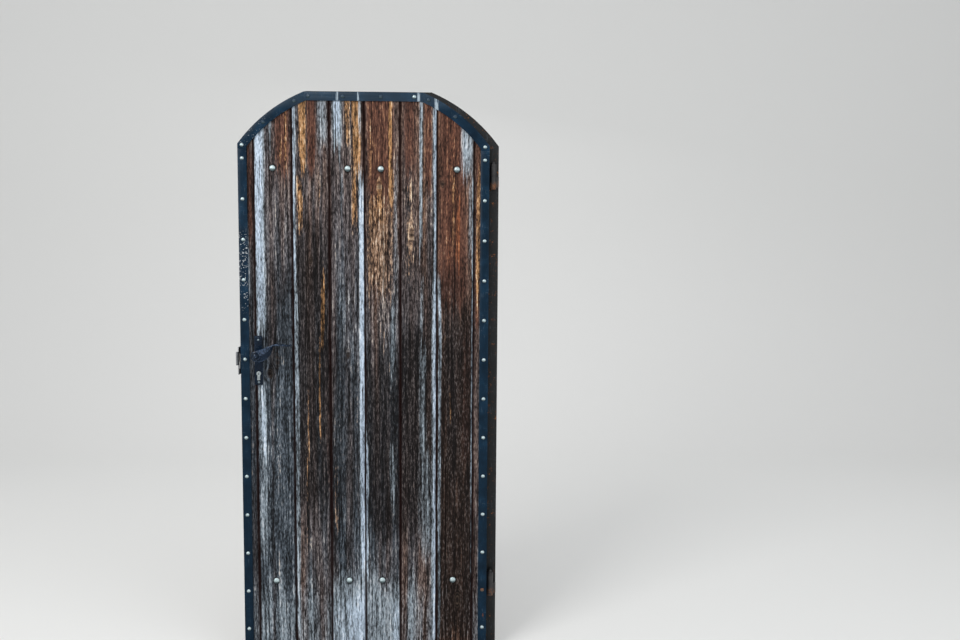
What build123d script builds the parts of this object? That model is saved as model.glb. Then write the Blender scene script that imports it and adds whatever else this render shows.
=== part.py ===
from build123d import *
import os
from math import atan2, cos, degrees, radians, sin, sqrt

# Arched plank door with a steel-edged leaf, hung on two strap hinges in a steel angle frame.
# Millimetres. x runs along the wall, y runs into the wall, z is up.
# The origin is on the underside of the sill, below the middle of the leaf.

os.makedirs("parts", exist_ok=True)

# Leaf outline
BOARD_WIDTHS = (56.0, 138.0, 134.0, 127.0, 130.0, 134.0, 135.0, 56.0)
LEAF_HEIGHT = 2090.0
FLAT_TOP_WIDTH = 428.0
SHOULDER_RADIUS = 566.0

# Boards, tongued and grooved
BOARD_THICKNESS = 32.0
BOARD_GAP = 0.6
VEE_WIDTH = 3.6
VEE_DEPTH = 4.0
TONGUE_THICKNESS = 8.0
TONGUE_DEPTH = 8.0
TONGUE_CLEARANCE = 0.3
TONGUE_END_CLEARANCE = 0.8

# Steel edging of the leaf
EDGING_STEEL = 4.0
EDGING_FACE = 32.0
EDGING_SEAM = 0.4
EDGING_SEAM_DROP = 14.0
STRAP_SETBACK = 2.0

# Small fasteners, whose round heads have a few flats to stay light
HEAD_SIDES = 8
SHANK_CLEARANCE = 0.25

# Round-head screws in the edging
SCREW_HEAD_RADIUS = 7.0
SCREW_HEAD_RISE = 4.0
SCREW_SHANK = 4.0
SCREW_BITE = 6.0
SCREW_TIP_CLEARANCE = 1.0
SIDE_SCREW_START = 47.3
SIDE_SCREW_END = 94.4
SIDE_SCREW_COUNT = 13
TOP_SCREW_X = (-200.0, -75.0, 61.0, 182.0)
SHOULDER_SCREW_X = (-362.0, -249.0, 233.0, 330.0)
BOTTOM_SCREW_X = (-300.0, -150.0, 0.0, 150.0, 300.0)

# Carriage bolts that hold the straps
TOP_BOLT_X = (-331.0, -60.0, 60.0, 337.0)
LOW_BOLT_X = (-335.0, -62.0, 62.0, 327.0)
BOLT_SIDES = 12
BOLT_SHANK = 10.0
BOLT_HOLE_CLEARANCE = 0.4
BOLT_HEAD_RADIUS = 11.0
BOLT_HEAD_RISE = 5.5
BOLT_HEAD_INSET = 5.5
NUT_ACROSS_FLATS = 17.0
NUT_HEIGHT = 8.0
BOLT_END = 3.0
BOLT_END_CLEARANCE = 0.1

# Strap hinges, the lower one from the leaf's bottom and the upper one from its top
LOW_HINGE_RISE = 279.0
TOP_HINGE_DROP = 274.0
HINGE_HEIGHTS = {"bottom": LOW_HINGE_RISE, "top": LEAF_HEIGHT - TOP_HINGE_DROP}
HINGE_BOLT_X = {"bottom": LOW_BOLT_X, "top": TOP_BOLT_X}
STRAP_STEEL = 5.0
STRAP_HEIGHT = 45.0
STRAP_END_MARGIN = 26.0
STRAP_END_CUT = 13.0
STRAP_SEAM = 1.0
PIN_RADIUS = 7.0
PIN_CLEARANCE = 0.1
PIN_PROUD = 5.0
PIN_CROWN = 4.0
PIN_CROWN_INSET = 3.0
EYE_SIDE_GAP = 2.4
EYE_LIFT = 0.3
PINTLE_HEIGHT = 46.0
PINTLE_BLOCK_DEPTH = 14.0
PINTLE_TAPER = 9.0
NOTCH_CLEARANCE = 1.0

# Steel angle frame
FRAME_LEG = 50.0
FRAME_STEEL = 5.0
LEAF_GAP = 8.0
HINGE_SIDE_GAP = 36.0
LEAF_CLEARANCE = 1.0
ANCHOR_RADIUS = 6.0
LOW_ANCHOR_RISE = 450.0
TOP_ANCHOR_DROP = 440.0
ANCHOR_HEIGHTS = (LOW_ANCHOR_RISE, LEAF_HEIGHT - TOP_ANCHOR_DROP)

# Mortise lock, heights above the bottom of the leaf
BACKSET = 65.0
SPINDLE_HEIGHT = 1138.0
KEY_DROP = 72.0
CASE_BACK = 25.0
CASE_TOP = 33.0
CASE_BOTTOM = 29.0
CASE_DEPTH = 15.0
CASE_STEEL = 1.5
MORTISE_CLEARANCE = 0.5
FOREND_STEEL = EDGING_STEEL
FOREND_WIDTH = 20.0
FOREND_HEIGHT = 235.0
FOREND_CORNER = 3.0
FOREND_CLEARANCE = 0.3
FOREND_SCREW_INSET = 11.0
FOREND_SCREW_HEAD = 4.0
FOREND_SCREW_RISE = 1.5
FOREND_SCREW_SHANK = 3.0
FOREND_SCREW_LENGTH = 16.0

LATCH_THROW = 12.0
LATCH_NOSE = 3.0
LATCH_BEVEL_SETBACK = 1.0
LATCH_DROP = 16.0
LATCH_TALL = 28.0
LATCH_THICK = 11.0
LATCH_INSIDE = 15.0
LATCH_TAIL = 3.0
LATCH_BAR = 11.0
LATCH_BAR_GAP = 1.5
LATCH_LUG = 5.5
LATCH_SLACK = 0.7
BOLT_SLIDE_CLEARANCE = 0.5

DEAD_TALL = 22.0
DEAD_CHAMFER = 1.0
DEAD_LENGTH = 50.0
DEAD_ABOVE_KEY = 28.0

FOLLOWER_RADIUS = 9.0
FOLLOWER_CLEARANCE = 0.1
ARM_REACH = 20.0
ARM_WIDTH = 6.0
ARM_THICK = 5.0
SPINDLE_SQUARE = 8.0
SPINDLE_CLEARANCE = 0.1
SPRING_LEAF = 0.8
SPRING_WIDTH = 8.0
SPRING_SPREAD = 24.0
SPRING_FOOT = 3.0
SPRING_SEAT = 0.3
SPRING_POST = 4.0
SPRING_POST_TALL = 10.0

CYLINDER_RADIUS = 8.5
CYLINDER_SIDES = 24
CYLINDER_NECK = 5.0
CYLINDER_TALL = 33.0
CYLINDER_PROUD = 2.5
CYLINDER_CLEARANCE = 0.4
PLUG_RADIUS = 6.5
PLUG_CLEARANCE = 0.1
CAM_RADIUS = 15.0
CAM_THICK = 9.6
CAM_CLEARANCE = 0.4
CAM_NOSE = 8.0
KEYWAY_WIDTH = 2.4
KEYWAY_TALL = 8.0
KEYWAY_DEPTH = 9.0
CYLINDER_SCREW_SHANK = 4.0
CYLINDER_SCREW_HEAD = 4.5
CYLINDER_SCREW_RISE = 1.8
CYLINDER_SCREW_DROP = 19.5

# Handles
PLATE_WIDTH = 30.0
PLATE_HEIGHT = 182.0
PLATE_STEEL = 2.5
PLATE_CORNER = 3.0
PLATE_TOP = 68.0
PAD_WIDTH = 22.0
PAD_RISE = 1.5
PAD_END_INSET = 4.0
PAD_LENGTH = 28.0
PLATE_SCREW_INSET = 15.0
PLATE_SCREW_BOTTOM_INSET = 9.5
PLATE_SCREW_SHANK = 4.0
PLATE_SCREW_HEAD = 4.5
PLATE_SCREW_RISE = 1.8
HUB_PROUD = 62.0
HUB_NECK_RADIUS = 10.0
HUB_COLLAR_RADIUS = 12.5
HUB_COLLAR_START = 31.0
HUB_COLLAR_LENGTH = 5.0
HUB_GROOVE = 2.0
HUB_HEAD_RADIUS = 14.5
HUB_HEAD_SIDES = 16
HUB_CROWN = 7.0
HUB_CROWN_INSET = 7.5
HUB_SEAT = 0.3
BLADE_PROUD = 46.0
BLADE_LENGTH = 125.0
BLADE_RISE = 32.0
BLADE_STEEL = 4.0
BLADE_WIDTH = 18.0
BLADE_ROOT = (36.0, 17.6)
BLADE_BEND = (50.4, 27.8)
BLADE_KNEE_X = 69.0
BLADE_WAVE = 1.5
WEB_STEEL = 5.5
WEB_DROP = 14.0
WEB_LENGTH = 60.0
WEB_BELLY = (36.0, -3.0)
WEB_BACK = (33.0, 22.0)
LEVER_PIN_SIDE = 3.0
LEVER_PIN_CLEARANCE = 0.2
LEVER_PIN_SETBACK = 1.0
SPINDLE_END = 22.0
SPINDLE_END_CLEARANCE = 0.5

# Strike plate
STRIKE_STEEL = 3.0
STRIKE_BELOW = 22.0
STRIKE_ABOVE = 27.0
STRIKE_FRONT_MARGIN = 7.0
STRIKE_REACH_BACK = 38.0
STRIKE_HOLE_CLEARANCE = 1.5
LIP_HEIGHT = 50.0
LIP_RADIUS = 14.0
LIP_SWEEP = 60.0
STRIKE_SCREW_SHANK = 4.0
STRIKE_SCREW_HEAD = 4.5
STRIKE_SCREW_RISE = 2.0
STRIKE_SCREW_INSET = 12.0

# How far a cut runs past the face that it opens
OVER = 1.0

# Places worked out from the sizes above
LEAF_WIDTH = sum(BOARD_WIDTHS)
HALF_LEAF = LEAF_WIDTH / 2
LEAF_BOTTOM = LEAF_GAP
LEAF_TOP = LEAF_BOTTOM + LEAF_HEIGHT
SHOULDER_CENTRE_Z = LEAF_TOP - sqrt(SHOULDER_RADIUS**2 - (FLAT_TOP_WIDTH / 2) ** 2)
CORNER_Z = SHOULDER_CENTRE_Z + sqrt(
    (SHOULDER_RADIUS - EDGING_FACE / 2) ** 2 - (HALF_LEAF - EDGING_FACE / 2) ** 2
)
SIDE_SCREW_SPAN = CORNER_Z - SIDE_SCREW_START - LEAF_BOTTOM - SIDE_SCREW_END
SIDE_SCREW_PITCH = SIDE_SCREW_SPAN / (SIDE_SCREW_COUNT - 1)
FRAME_LEFT = -HALF_LEAF - LEAF_GAP
FRAME_RIGHT = HALF_LEAF + HINGE_SIDE_GAP
FRAME_TOP = LEAF_TOP + LEAF_GAP

FRAME_FRONT = -FRAME_LEG / 2
FRAME_BACK = FRAME_LEG / 2
EDGING_BACK = FRAME_FRONT - LEAF_CLEARANCE
STRAP_BACK = EDGING_BACK - STRAP_SETBACK
BOARD_BACK = STRAP_BACK - STRAP_STEEL
BOARD_FRONT = BOARD_BACK - BOARD_THICKNESS
BOARD_MIDDLE = (BOARD_FRONT + BOARD_BACK) / 2
EDGING_FRONT = BOARD_FRONT - EDGING_STEEL

EYE_INNER = PIN_RADIUS + PIN_CLEARANCE
EYE_OUTER = EYE_INNER + STRAP_STEEL
HINGE_X = HALF_LEAF + EYE_OUTER + EYE_SIDE_GAP
HINGE_Y = STRAP_BACK - EYE_OUTER

LOCK_EDGE = -HALF_LEAF
LOCK_X = LOCK_EDGE + BACKSET
SPINDLE_Z = LEAF_BOTTOM + SPINDLE_HEIGHT
KEY_Z = SPINDLE_Z - KEY_DROP
CASE_LEFT = LOCK_EDGE + FOREND_STEEL
CASE_RIGHT = LOCK_X + CASE_BACK
CASE_LOW = KEY_Z - CASE_BOTTOM
CASE_HIGH = SPINDLE_Z + CASE_TOP
CASE_FRONT = BOARD_MIDDLE - CASE_DEPTH / 2
CASE_REAR = BOARD_MIDDLE + CASE_DEPTH / 2
LATCH_Z = SPINDLE_Z - LATCH_DROP
DEAD_Z = KEY_Z + DEAD_ABOVE_KEY
FOREND_Z = (CASE_LOW + CASE_HIGH) / 2
PLATE_TOP_Z = SPINDLE_Z + PLATE_TOP
PLATE_BOTTOM_Z = PLATE_TOP_Z - PLATE_HEIGHT
PLATE_Z = (PLATE_TOP_Z + PLATE_BOTTOM_Z) / 2
PLATE_SCREW_Z = (PLATE_TOP_Z - PLATE_SCREW_INSET, PLATE_BOTTOM_Z + PLATE_SCREW_BOTTOM_INSET)


# Shared shapes
def slab(sketch, y_front, y_back):
    """A front-view outline (x, z) with its thickness between two depths."""
    return Pos(0, y_back, 0) * Rot(90, 0, 0) * extrude(sketch, amount=y_back - y_front)


def column(sketch, z_low, z_high):
    """A plan-view outline (x, y) drawn up between two heights."""
    return Pos(0, 0, z_low) * extrude(sketch, amount=z_high - z_low)


def bar(x_low, x_high, y_low, y_high, z_low, z_high):
    size = (x_high - x_low, y_high - y_low, z_high - z_low)
    middle = ((x_low + x_high) / 2, (y_low + y_high) / 2, (z_low + z_high) / 2)
    return Pos(*middle) * Box(*size)


def rod_y(x, z, radius, y_front, y_back):
    return slab(Pos(x, z) * Circle(radius), y_front, y_back)


def rod_x(y, z, radius, x_low, x_high):
    rod = Cylinder(radius, x_high - x_low, align=(Align.CENTER, Align.CENTER, Align.MIN))
    return Pos(x_low, y, z) * Rot(0, 90, 0) * rod


def square_y(x, z, side, y_front, y_back):
    return slab(Pos(x, z) * Rectangle(side, side), y_front, y_back)


def rectangle(left, right, low, high):
    return Pos((left + right) / 2, (low + high) / 2) * Rectangle(right - left, high - low)


def tapered(sketch, rise, inset):
    """An outline drawn up while its sides lean in by the inset."""
    return extrude(sketch, amount=rise, taper=degrees(atan2(inset, rise)))


def screw(head_radius, rise, shank, length):
    """A round-head screw along z: the head's flat face at z = 0, the shank below it."""
    head = tapered(RegularPolygon(head_radius, HEAD_SIDES, major_radius=False), rise, head_radius / 2)
    return head + Pos(0, 0, -length / 2) * Box(shank, shank, length)


def screw_facing_out(x, y, z, head_radius, rise, shank, length):
    """A screw whose head is seated on the plane y, towards the street."""
    return Pos(x, y, z) * Rot(90, 0, 0) * screw(head_radius, rise, shank, length)


def square_x(y, z, side, x_low, x_high):
    return bar(x_low, x_high, y - side / 2, y + side / 2, z - side / 2, z + side / 2)


def arched(left, right, low, high, left_centre, right_centre, radius):
    """An upright outline with a flat top between two round shoulders."""
    centre_z = SHOULDER_CENTRE_Z
    shoulders = Pos(left_centre, centre_z) * Circle(radius)
    if right_centre > left_centre:
        shoulders += Pos(right_centre, centre_z) * Circle(radius)
        shoulders += rectangle(left_centre, right_centre, centre_z, centre_z + radius)
    return rectangle(left, right, low, high) & (shoulders + rectangle(left, right, low, centre_z))


def leaf_outline(inset):
    return arched(
        -HALF_LEAF + inset,
        HALF_LEAF - inset,
        LEAF_BOTTOM + inset,
        LEAF_TOP - inset,
        0,
        0,
        SHOULDER_RADIUS - inset,
    )


def frame_outline(inset):
    return arched(
        FRAME_LEFT + inset,
        FRAME_RIGHT - inset,
        inset,
        FRAME_TOP - inset,
        0,
        HINGE_SIDE_GAP - LEAF_GAP,
        SHOULDER_RADIUS + LEAF_GAP - inset,
    )


def board_edges():
    """The left edge of every board, and the right edge of the last one."""
    edges = [-HALF_LEAF]
    for width in BOARD_WIDTHS:
        edges.append(edges[-1] + width)
    return edges


def edging_screw_places():
    """Screw centres on the middle line of the edging's face, as (x, z)."""
    inset = EDGING_FACE / 2
    side_x = HALF_LEAF - inset
    places = []
    for x in (-side_x, side_x):
        places.append((x, CORNER_Z))
        for row in range(SIDE_SCREW_COUNT):
            places.append((x, CORNER_Z - SIDE_SCREW_START - row * SIDE_SCREW_PITCH))
    places += [(x, LEAF_TOP - inset) for x in TOP_SCREW_X]
    places += [(x, LEAF_BOTTOM + inset) for x in BOTTOM_SCREW_X]
    for x in SHOULDER_SCREW_X:
        rise = sqrt((SHOULDER_RADIUS - inset) ** 2 - x**2)
        places.append((x, SHOULDER_CENTRE_Z + rise))
    return places


def bolt_places():
    places = []
    for hinge, height in HINGE_HEIGHTS.items():
        places += [(x, LEAF_BOTTOM + height) for x in HINGE_BOLT_X[hinge]]
    return places


def euro_profile(clearance):
    """The keyhole outline of the cylinder, round the key and straight below it."""
    drop = CYLINDER_TALL - CYLINDER_RADIUS + clearance
    outline = RegularPolygon(CYLINDER_RADIUS + clearance, CYLINDER_SIDES)
    outline += Pos(0, -drop / 2) * Rectangle(2 * (CYLINDER_NECK + clearance), drop)
    return Pos(LOCK_X, KEY_Z) * outline


# Frame
def outer_frame():
    stop = frame_outline(0) - frame_outline(FRAME_LEG)
    rim = frame_outline(0) - frame_outline(FRAME_STEEL)
    frame = slab(stop, FRAME_FRONT, FRAME_FRONT + FRAME_STEEL)
    frame += slab(rim, FRAME_FRONT, FRAME_BACK)
    for height in ANCHOR_HEIGHTS:
        z = LEAF_BOTTOM + height
        frame -= rod_x(0, z, ANCHOR_RADIUS, FRAME_LEFT - OVER, FRAME_LEFT + FRAME_STEEL + OVER)
        frame -= rod_x(0, z, ANCHOR_RADIUS, FRAME_RIGHT - FRAME_STEEL - OVER, FRAME_RIGHT + OVER)
    for z in strike_screw_heights():
        frame -= strike_screw_hole(z)
    return frame


def pintle(hinge):
    """A pin on a forged block that is welded to the front of the frame."""
    z_middle = LEAF_BOTTOM + HINGE_HEIGHTS[hinge]
    eye_bottom = z_middle - STRAP_HEIGHT / 2
    eye_top = z_middle + STRAP_HEIGHT / 2
    block_top = eye_bottom - EYE_LIFT
    block_bottom = block_top - PINTLE_HEIGHT
    pin_top = eye_top + PIN_PROUD
    outline = make_face(
        Polyline(
            (HINGE_X, block_top),
            (FRAME_RIGHT, block_top),
            (FRAME_RIGHT, block_bottom + PINTLE_TAPER),
            (HINGE_X, block_bottom),
            close=True,
        )
    )
    place = Pos(HINGE_X, HINGE_Y)
    piece = slab(outline, FRAME_FRONT - PINTLE_BLOCK_DEPTH, FRAME_FRONT)
    piece += column(place * Circle(EYE_OUTER), block_bottom, block_top)
    piece += column(place * Circle(PIN_RADIUS), block_top, pin_top)
    crown = tapered(bolt_end_face(PIN_RADIUS * cos(radians(180 / BOLT_SIDES))), PIN_CROWN, PIN_CROWN_INSET)
    return piece + Pos(HINGE_X, HINGE_Y, pin_top) * crown


# Strike
def strike_low():
    return DEAD_Z - DEAD_TALL / 2 - STRIKE_BELOW


def strike_high():
    return LATCH_Z + LATCH_TALL / 2 + STRIKE_ABOVE


def strike_screw_heights():
    return (strike_low() + STRIKE_SCREW_INSET, strike_high() - STRIKE_SCREW_INSET)


def strike_screw_hole(z):
    side = STRIKE_SCREW_SHANK + 2 * SHANK_CLEARANCE
    return square_x(0, z, side, FRAME_LEFT - STRIKE_STEEL - OVER, FRAME_LEFT + FRAME_STEEL + OVER)


def strike_plate():
    """A plate outside the jamb that reaches forward beside the leaf, with a curved lip."""
    right = FRAME_LEFT
    left = right - STRIKE_STEEL
    hole_front = BOARD_MIDDLE - LATCH_THICK / 2 - STRIKE_HOLE_CLEARANCE
    hole_back = BOARD_MIDDLE + LATCH_THICK / 2 + STRIKE_HOLE_CLEARANCE
    front = hole_front - STRIKE_FRONT_MARGIN
    back = FRAME_FRONT + STRIKE_REACH_BACK
    plate = bar(left, right, front, back, strike_low(), strike_high())
    for z, tall in ((LATCH_Z, LATCH_TALL), (DEAD_Z, DEAD_TALL)):
        half = tall / 2 + STRIKE_HOLE_CLEARANCE
        plate -= bar(left - OVER, right + OVER, hole_front, hole_back, z - half, z + half)
    for z in strike_screw_heights():
        plate -= strike_screw_hole(z)
    ring = Circle(LIP_RADIUS) - Circle(LIP_RADIUS - STRIKE_STEEL)
    reach = 2 * LIP_RADIUS
    wedge = make_face(
        Polyline(
            (0, 0),
            (reach, 0),
            (reach * cos(radians(LIP_SWEEP / 2)), -reach * sin(radians(LIP_SWEEP / 2))),
            (reach * cos(radians(LIP_SWEEP)), -reach * sin(radians(LIP_SWEEP))),
            close=True,
        )
    )
    lip = Pos(right - LIP_RADIUS, front) * (ring & wedge)
    lip = column(lip, LATCH_Z - LIP_HEIGHT / 2, LATCH_Z + LIP_HEIGHT / 2)
    return plate + lip


def strike_screws():
    """Screws from inside the frame into the plate, as separate solids."""
    length = FRAME_STEEL + STRIKE_STEEL
    screws = []
    for z in strike_screw_heights():
        one = screw(STRIKE_SCREW_HEAD, STRIKE_SCREW_RISE, STRIKE_SCREW_SHANK, length)
        screws.append(Pos(FRAME_LEFT + FRAME_STEEL, 0, z) * Rot(0, 90, 0) * one)
    return screws


# Leaf
def lock_mortise():
    """Everything that is cut out of the boards for the lock, the handles and the forend."""
    gap = MORTISE_CLEARANCE
    cut = bar(
        CASE_LEFT - OVER,
        CASE_RIGHT + gap,
        CASE_FRONT - gap,
        CASE_REAR + gap,
        CASE_LOW - gap,
        CASE_HIGH + gap,
    )
    cut += square_y(LOCK_X, SPINDLE_Z, 2 * HUB_NECK_RADIUS, BOARD_FRONT - OVER, BOARD_BACK + OVER)
    drop = CYLINDER_TALL - CYLINDER_RADIUS + CYLINDER_CLEARANCE
    reach = CYLINDER_RADIUS + CYLINDER_CLEARANCE
    key_cut = rectangle(LOCK_X - reach, LOCK_X + reach, KEY_Z - drop, KEY_Z + reach)
    cut += slab(key_cut, BOARD_FRONT - OVER, BOARD_BACK + OVER)
    side = PLATE_SCREW_SHANK + 2 * SHANK_CLEARANCE
    for z in PLATE_SCREW_Z:
        cut += square_y(LOCK_X, z, side, BOARD_FRONT - OVER, BOARD_BACK + OVER)
    side = FOREND_SCREW_SHANK + 2 * SHANK_CLEARANCE
    for z in forend_screw_heights():
        cut += square_x(BOARD_MIDDLE, z, side, CASE_LEFT - OVER, LOCK_EDGE + FOREND_SCREW_LENGTH + OVER)
    return cut


def board_section(left, right, tongue, groove):
    """Plan view of one board: a tongue on its right edge and a groove in its left one."""
    low = left + BOARD_GAP / 2
    high = right - BOARD_GAP / 2
    groove_half = TONGUE_THICKNESS / 2 + TONGUE_CLEARANCE
    tongue_half = TONGUE_THICKNESS / 2
    groove_end = low + TONGUE_DEPTH + TONGUE_END_CLEARANCE
    section = rectangle(low, high, BOARD_FRONT, BOARD_BACK)
    if groove:
        vee = Polyline(
            (low, BOARD_FRONT), (low + VEE_WIDTH, BOARD_FRONT), (low, BOARD_FRONT + VEE_DEPTH), close=True
        )
        section -= make_face(vee)
        section -= rectangle(low, groove_end, BOARD_MIDDLE - groove_half, BOARD_MIDDLE + groove_half)
    if tongue:
        vee = Polyline(
            (high, BOARD_FRONT), (high, BOARD_FRONT + VEE_DEPTH), (high - VEE_WIDTH, BOARD_FRONT), close=True
        )
        section -= make_face(vee)
        tip = high + TONGUE_DEPTH
        section += rectangle(high, tip, BOARD_MIDDLE - tongue_half, BOARD_MIDDLE + tongue_half)
    return section


def board(number, inside_edging, mortise):
    edges = board_edges()
    left, right = edges[number], edges[number + 1]
    last = len(BOARD_WIDTHS) - 1
    section = board_section(left, right, tongue=number < last, groove=number > 0)
    piece = column(section, LEAF_BOTTOM, LEAF_TOP) & inside_edging
    reach = right + TONGUE_DEPTH
    for x, z in bolt_places():
        if left - BOLT_HEAD_RADIUS < x < reach + BOLT_HEAD_RADIUS:
            side = BOLT_SHANK + 2 * BOLT_HOLE_CLEARANCE
            piece -= square_y(x, z, side, BOARD_FRONT - OVER, BOARD_BACK + OVER)
    side = SCREW_SHANK + 2 * SHANK_CLEARANCE
    for x, z in edging_screw_places():
        if left - side < x < reach + side:
            piece -= square_y(x, z, side, BOARD_FRONT - OVER, BOARD_FRONT + SCREW_BITE)
    if left < CASE_RIGHT:
        piece -= mortise
    return piece


def edging_seams():
    """Thin cuts where the six bars of the edging meet: at the foot, the shoulders and the flat top."""
    half = EDGING_SEAM / 2
    inner = HALF_LEAF - EDGING_FACE
    seams = []
    for side in (-1, 1):
        flat = side * FLAT_TOP_WIDTH / 2
        seams.append(rectangle(flat - half, flat + half, LEAF_TOP - 2 * EDGING_FACE, LEAF_TOP + OVER))
        ends = sorted((side * (inner - OVER), side * (HALF_LEAF + OVER)))
        for z in (LEAF_BOTTOM + EDGING_FACE, CORNER_Z - EDGING_SEAM_DROP):
            seams.append(rectangle(*ends, z - half, z + half))
    return seams


def leaf_edging():
    """Six angle bars round the leaf: one leg on the face, the other round the edge."""
    face = leaf_outline(0) - leaf_outline(EDGING_FACE)
    rim = leaf_outline(0) - leaf_outline(EDGING_STEEL)
    ring = slab(face, EDGING_FRONT, BOARD_FRONT)
    ring += slab(rim, EDGING_FRONT, EDGING_BACK)
    for height in HINGE_HEIGHTS.values():
        half = STRAP_HEIGHT / 2 + NOTCH_CLEARANCE
        z = LEAF_BOTTOM + height
        sides = (HALF_LEAF - EDGING_STEEL - OVER, HALF_LEAF + OVER)
        ring -= bar(*sides, BOARD_BACK - NOTCH_CLEARANCE, EDGING_BACK + OVER, z - half, z + half)
    ring -= slab_x(forend_outline(FOREND_CLEARANCE), LOCK_EDGE - OVER, CASE_LEFT)
    side = SCREW_SHANK + 2 * SHANK_CLEARANCE
    for x, z in edging_screw_places():
        ring -= square_y(x, z, side, EDGING_FRONT - OVER, BOARD_FRONT + OVER)
    for seam in edging_seams():
        ring -= slab(seam, EDGING_FRONT - OVER, EDGING_BACK + OVER)
    return ring.solids()


def edging_screws():
    """Round-head screws through the face of the edging, as separate solids."""
    length = EDGING_STEEL + SCREW_BITE - SCREW_TIP_CLEARANCE
    sizes = (SCREW_HEAD_RADIUS, SCREW_HEAD_RISE, SCREW_SHANK, length)
    return [screw_facing_out(x, EDGING_FRONT, z, *sizes) for x, z in edging_screw_places()]


def bolt_end_face(radius):
    return RegularPolygon(radius, BOLT_SIDES, major_radius=False)


def carriage_bolts():
    """Domed bolts, square in the wood and round in the nut, as separate solids."""
    head = tapered(bolt_end_face(BOLT_HEAD_RADIUS), BOLT_HEAD_RISE, BOLT_HEAD_INSET)
    end = STRAP_BACK + NUT_HEIGHT + BOLT_END
    bolts = []
    for x, z in bolt_places():
        bolt = Pos(x, BOARD_FRONT, z) * Rot(90, 0, 0) * head
        bolt += square_y(x, z, BOLT_SHANK / sqrt(2), BOARD_FRONT, STRAP_BACK)
        bolt += slab(Pos(x, z) * bolt_end_face(BOLT_SHANK / 2), STRAP_BACK, end)
        bolts.append(bolt)
    return bolts


def bolt_nuts():
    nuts = []
    hexagon = RegularPolygon(NUT_ACROSS_FLATS / 2, 6, major_radius=False)
    hexagon -= bolt_end_face(BOLT_SHANK / 2 + BOLT_END_CLEARANCE)
    for x, z in bolt_places():
        nuts.append(slab(Pos(x, z) * hexagon, STRAP_BACK, STRAP_BACK + NUT_HEIGHT))
    return nuts


def strap(hinge):
    """A flat bar across the back of the boards, rolled into an eye round the pin."""
    z_middle = LEAF_BOTTOM + HINGE_HEIGHTS[hinge]
    bolts = HINGE_BOLT_X[hinge]
    left = min(bolts) - STRAP_END_MARGIN
    eye_place = Pos(HINGE_X, HINGE_Y)
    section = rectangle(left, HINGE_X, BOARD_BACK, STRAP_BACK)
    section += eye_place * Circle(EYE_OUTER)
    section -= eye_place * Circle(EYE_INNER)
    seam_left = HINGE_X - EYE_OUTER - OVER
    seam_right = HINGE_X - EYE_INNER / 2
    section -= rectangle(seam_left, seam_right, BOARD_BACK - STRAP_SEAM, BOARD_BACK)
    low = z_middle - STRAP_HEIGHT / 2
    high = z_middle + STRAP_HEIGHT / 2
    piece = column(section, low, high)
    for edge, inward in ((low, 1), (high, -1)):
        corner = Polyline(
            (left, edge), (left + STRAP_END_CUT, edge), (left, edge + inward * STRAP_END_CUT), close=True
        )
        piece -= slab(make_face(corner), BOARD_BACK - OVER, STRAP_BACK + OVER)
    side = BOLT_SHANK + 2 * BOLT_HOLE_CLEARANCE
    for x in bolts:
        piece -= square_y(x, z_middle, side, BOARD_BACK - OVER, STRAP_BACK + OVER)
    return piece


# Lock
def slab_x(sketch, x_low, x_high):
    """An edge-view outline (y, z) with its thickness between two places along x."""
    return Pos(x_low, 0, 0) * Plane.YZ.location * extrude(sketch, amount=x_high - x_low)


def forend_outline(clearance):
    width = FOREND_WIDTH + 2 * clearance
    height = FOREND_HEIGHT + 2 * clearance
    outline = Pos(BOARD_MIDDLE, FOREND_Z) * Rectangle(width, height)
    return chamfer(outline.vertices(), FOREND_CORNER)


def forend_screw_heights():
    offset = FOREND_HEIGHT / 2 - FOREND_SCREW_INSET
    return (FOREND_Z - offset, FOREND_Z + offset)


def bolt_ways(sketch):
    """Cuts the latch's, the dead bolt's and the screw's ways out of an edge-view outline."""
    clearance = 2 * BOLT_SLIDE_CLEARANCE
    for z, tall in ((LATCH_Z, LATCH_TALL), (DEAD_Z, DEAD_TALL)):
        sketch -= Pos(BOARD_MIDDLE, z) * Rectangle(LATCH_THICK + clearance, tall + clearance)
    side = CYLINDER_SCREW_SHANK + 2 * SHANK_CLEARANCE
    return sketch - Pos(BOARD_MIDDLE, KEY_Z - CYLINDER_SCREW_DROP) * Rectangle(side, side)


def forend_plate():
    outline = bolt_ways(forend_outline(0))
    side = FOREND_SCREW_SHANK + 2 * SHANK_CLEARANCE
    for z in forend_screw_heights():
        outline -= Pos(BOARD_MIDDLE, z) * Rectangle(side, side)
    return slab_x(outline, LOCK_EDGE, CASE_LEFT)


def forend_screws():
    one = screw(FOREND_SCREW_HEAD, FOREND_SCREW_RISE, FOREND_SCREW_SHANK, FOREND_SCREW_LENGTH)
    places = [Pos(LOCK_EDGE, BOARD_MIDDLE, z) for z in forend_screw_heights()]
    return [place * Rot(0, -90, 0) * one for place in places]


def lock_openings(y_front, y_back):
    """Holes in the sides of the case for the follower and the cylinder."""
    holes = rod_y(LOCK_X, SPINDLE_Z, FOLLOWER_RADIUS + FOLLOWER_CLEARANCE, y_front, y_back)
    return holes + slab(euro_profile(CYLINDER_CLEARANCE), y_front, y_back)


def spring_start():
    return CASE_LEFT + LATCH_INSIDE


def spring_post():
    return spring_start() + SPRING_SPREAD + 2 * SPRING_SEAT


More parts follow.
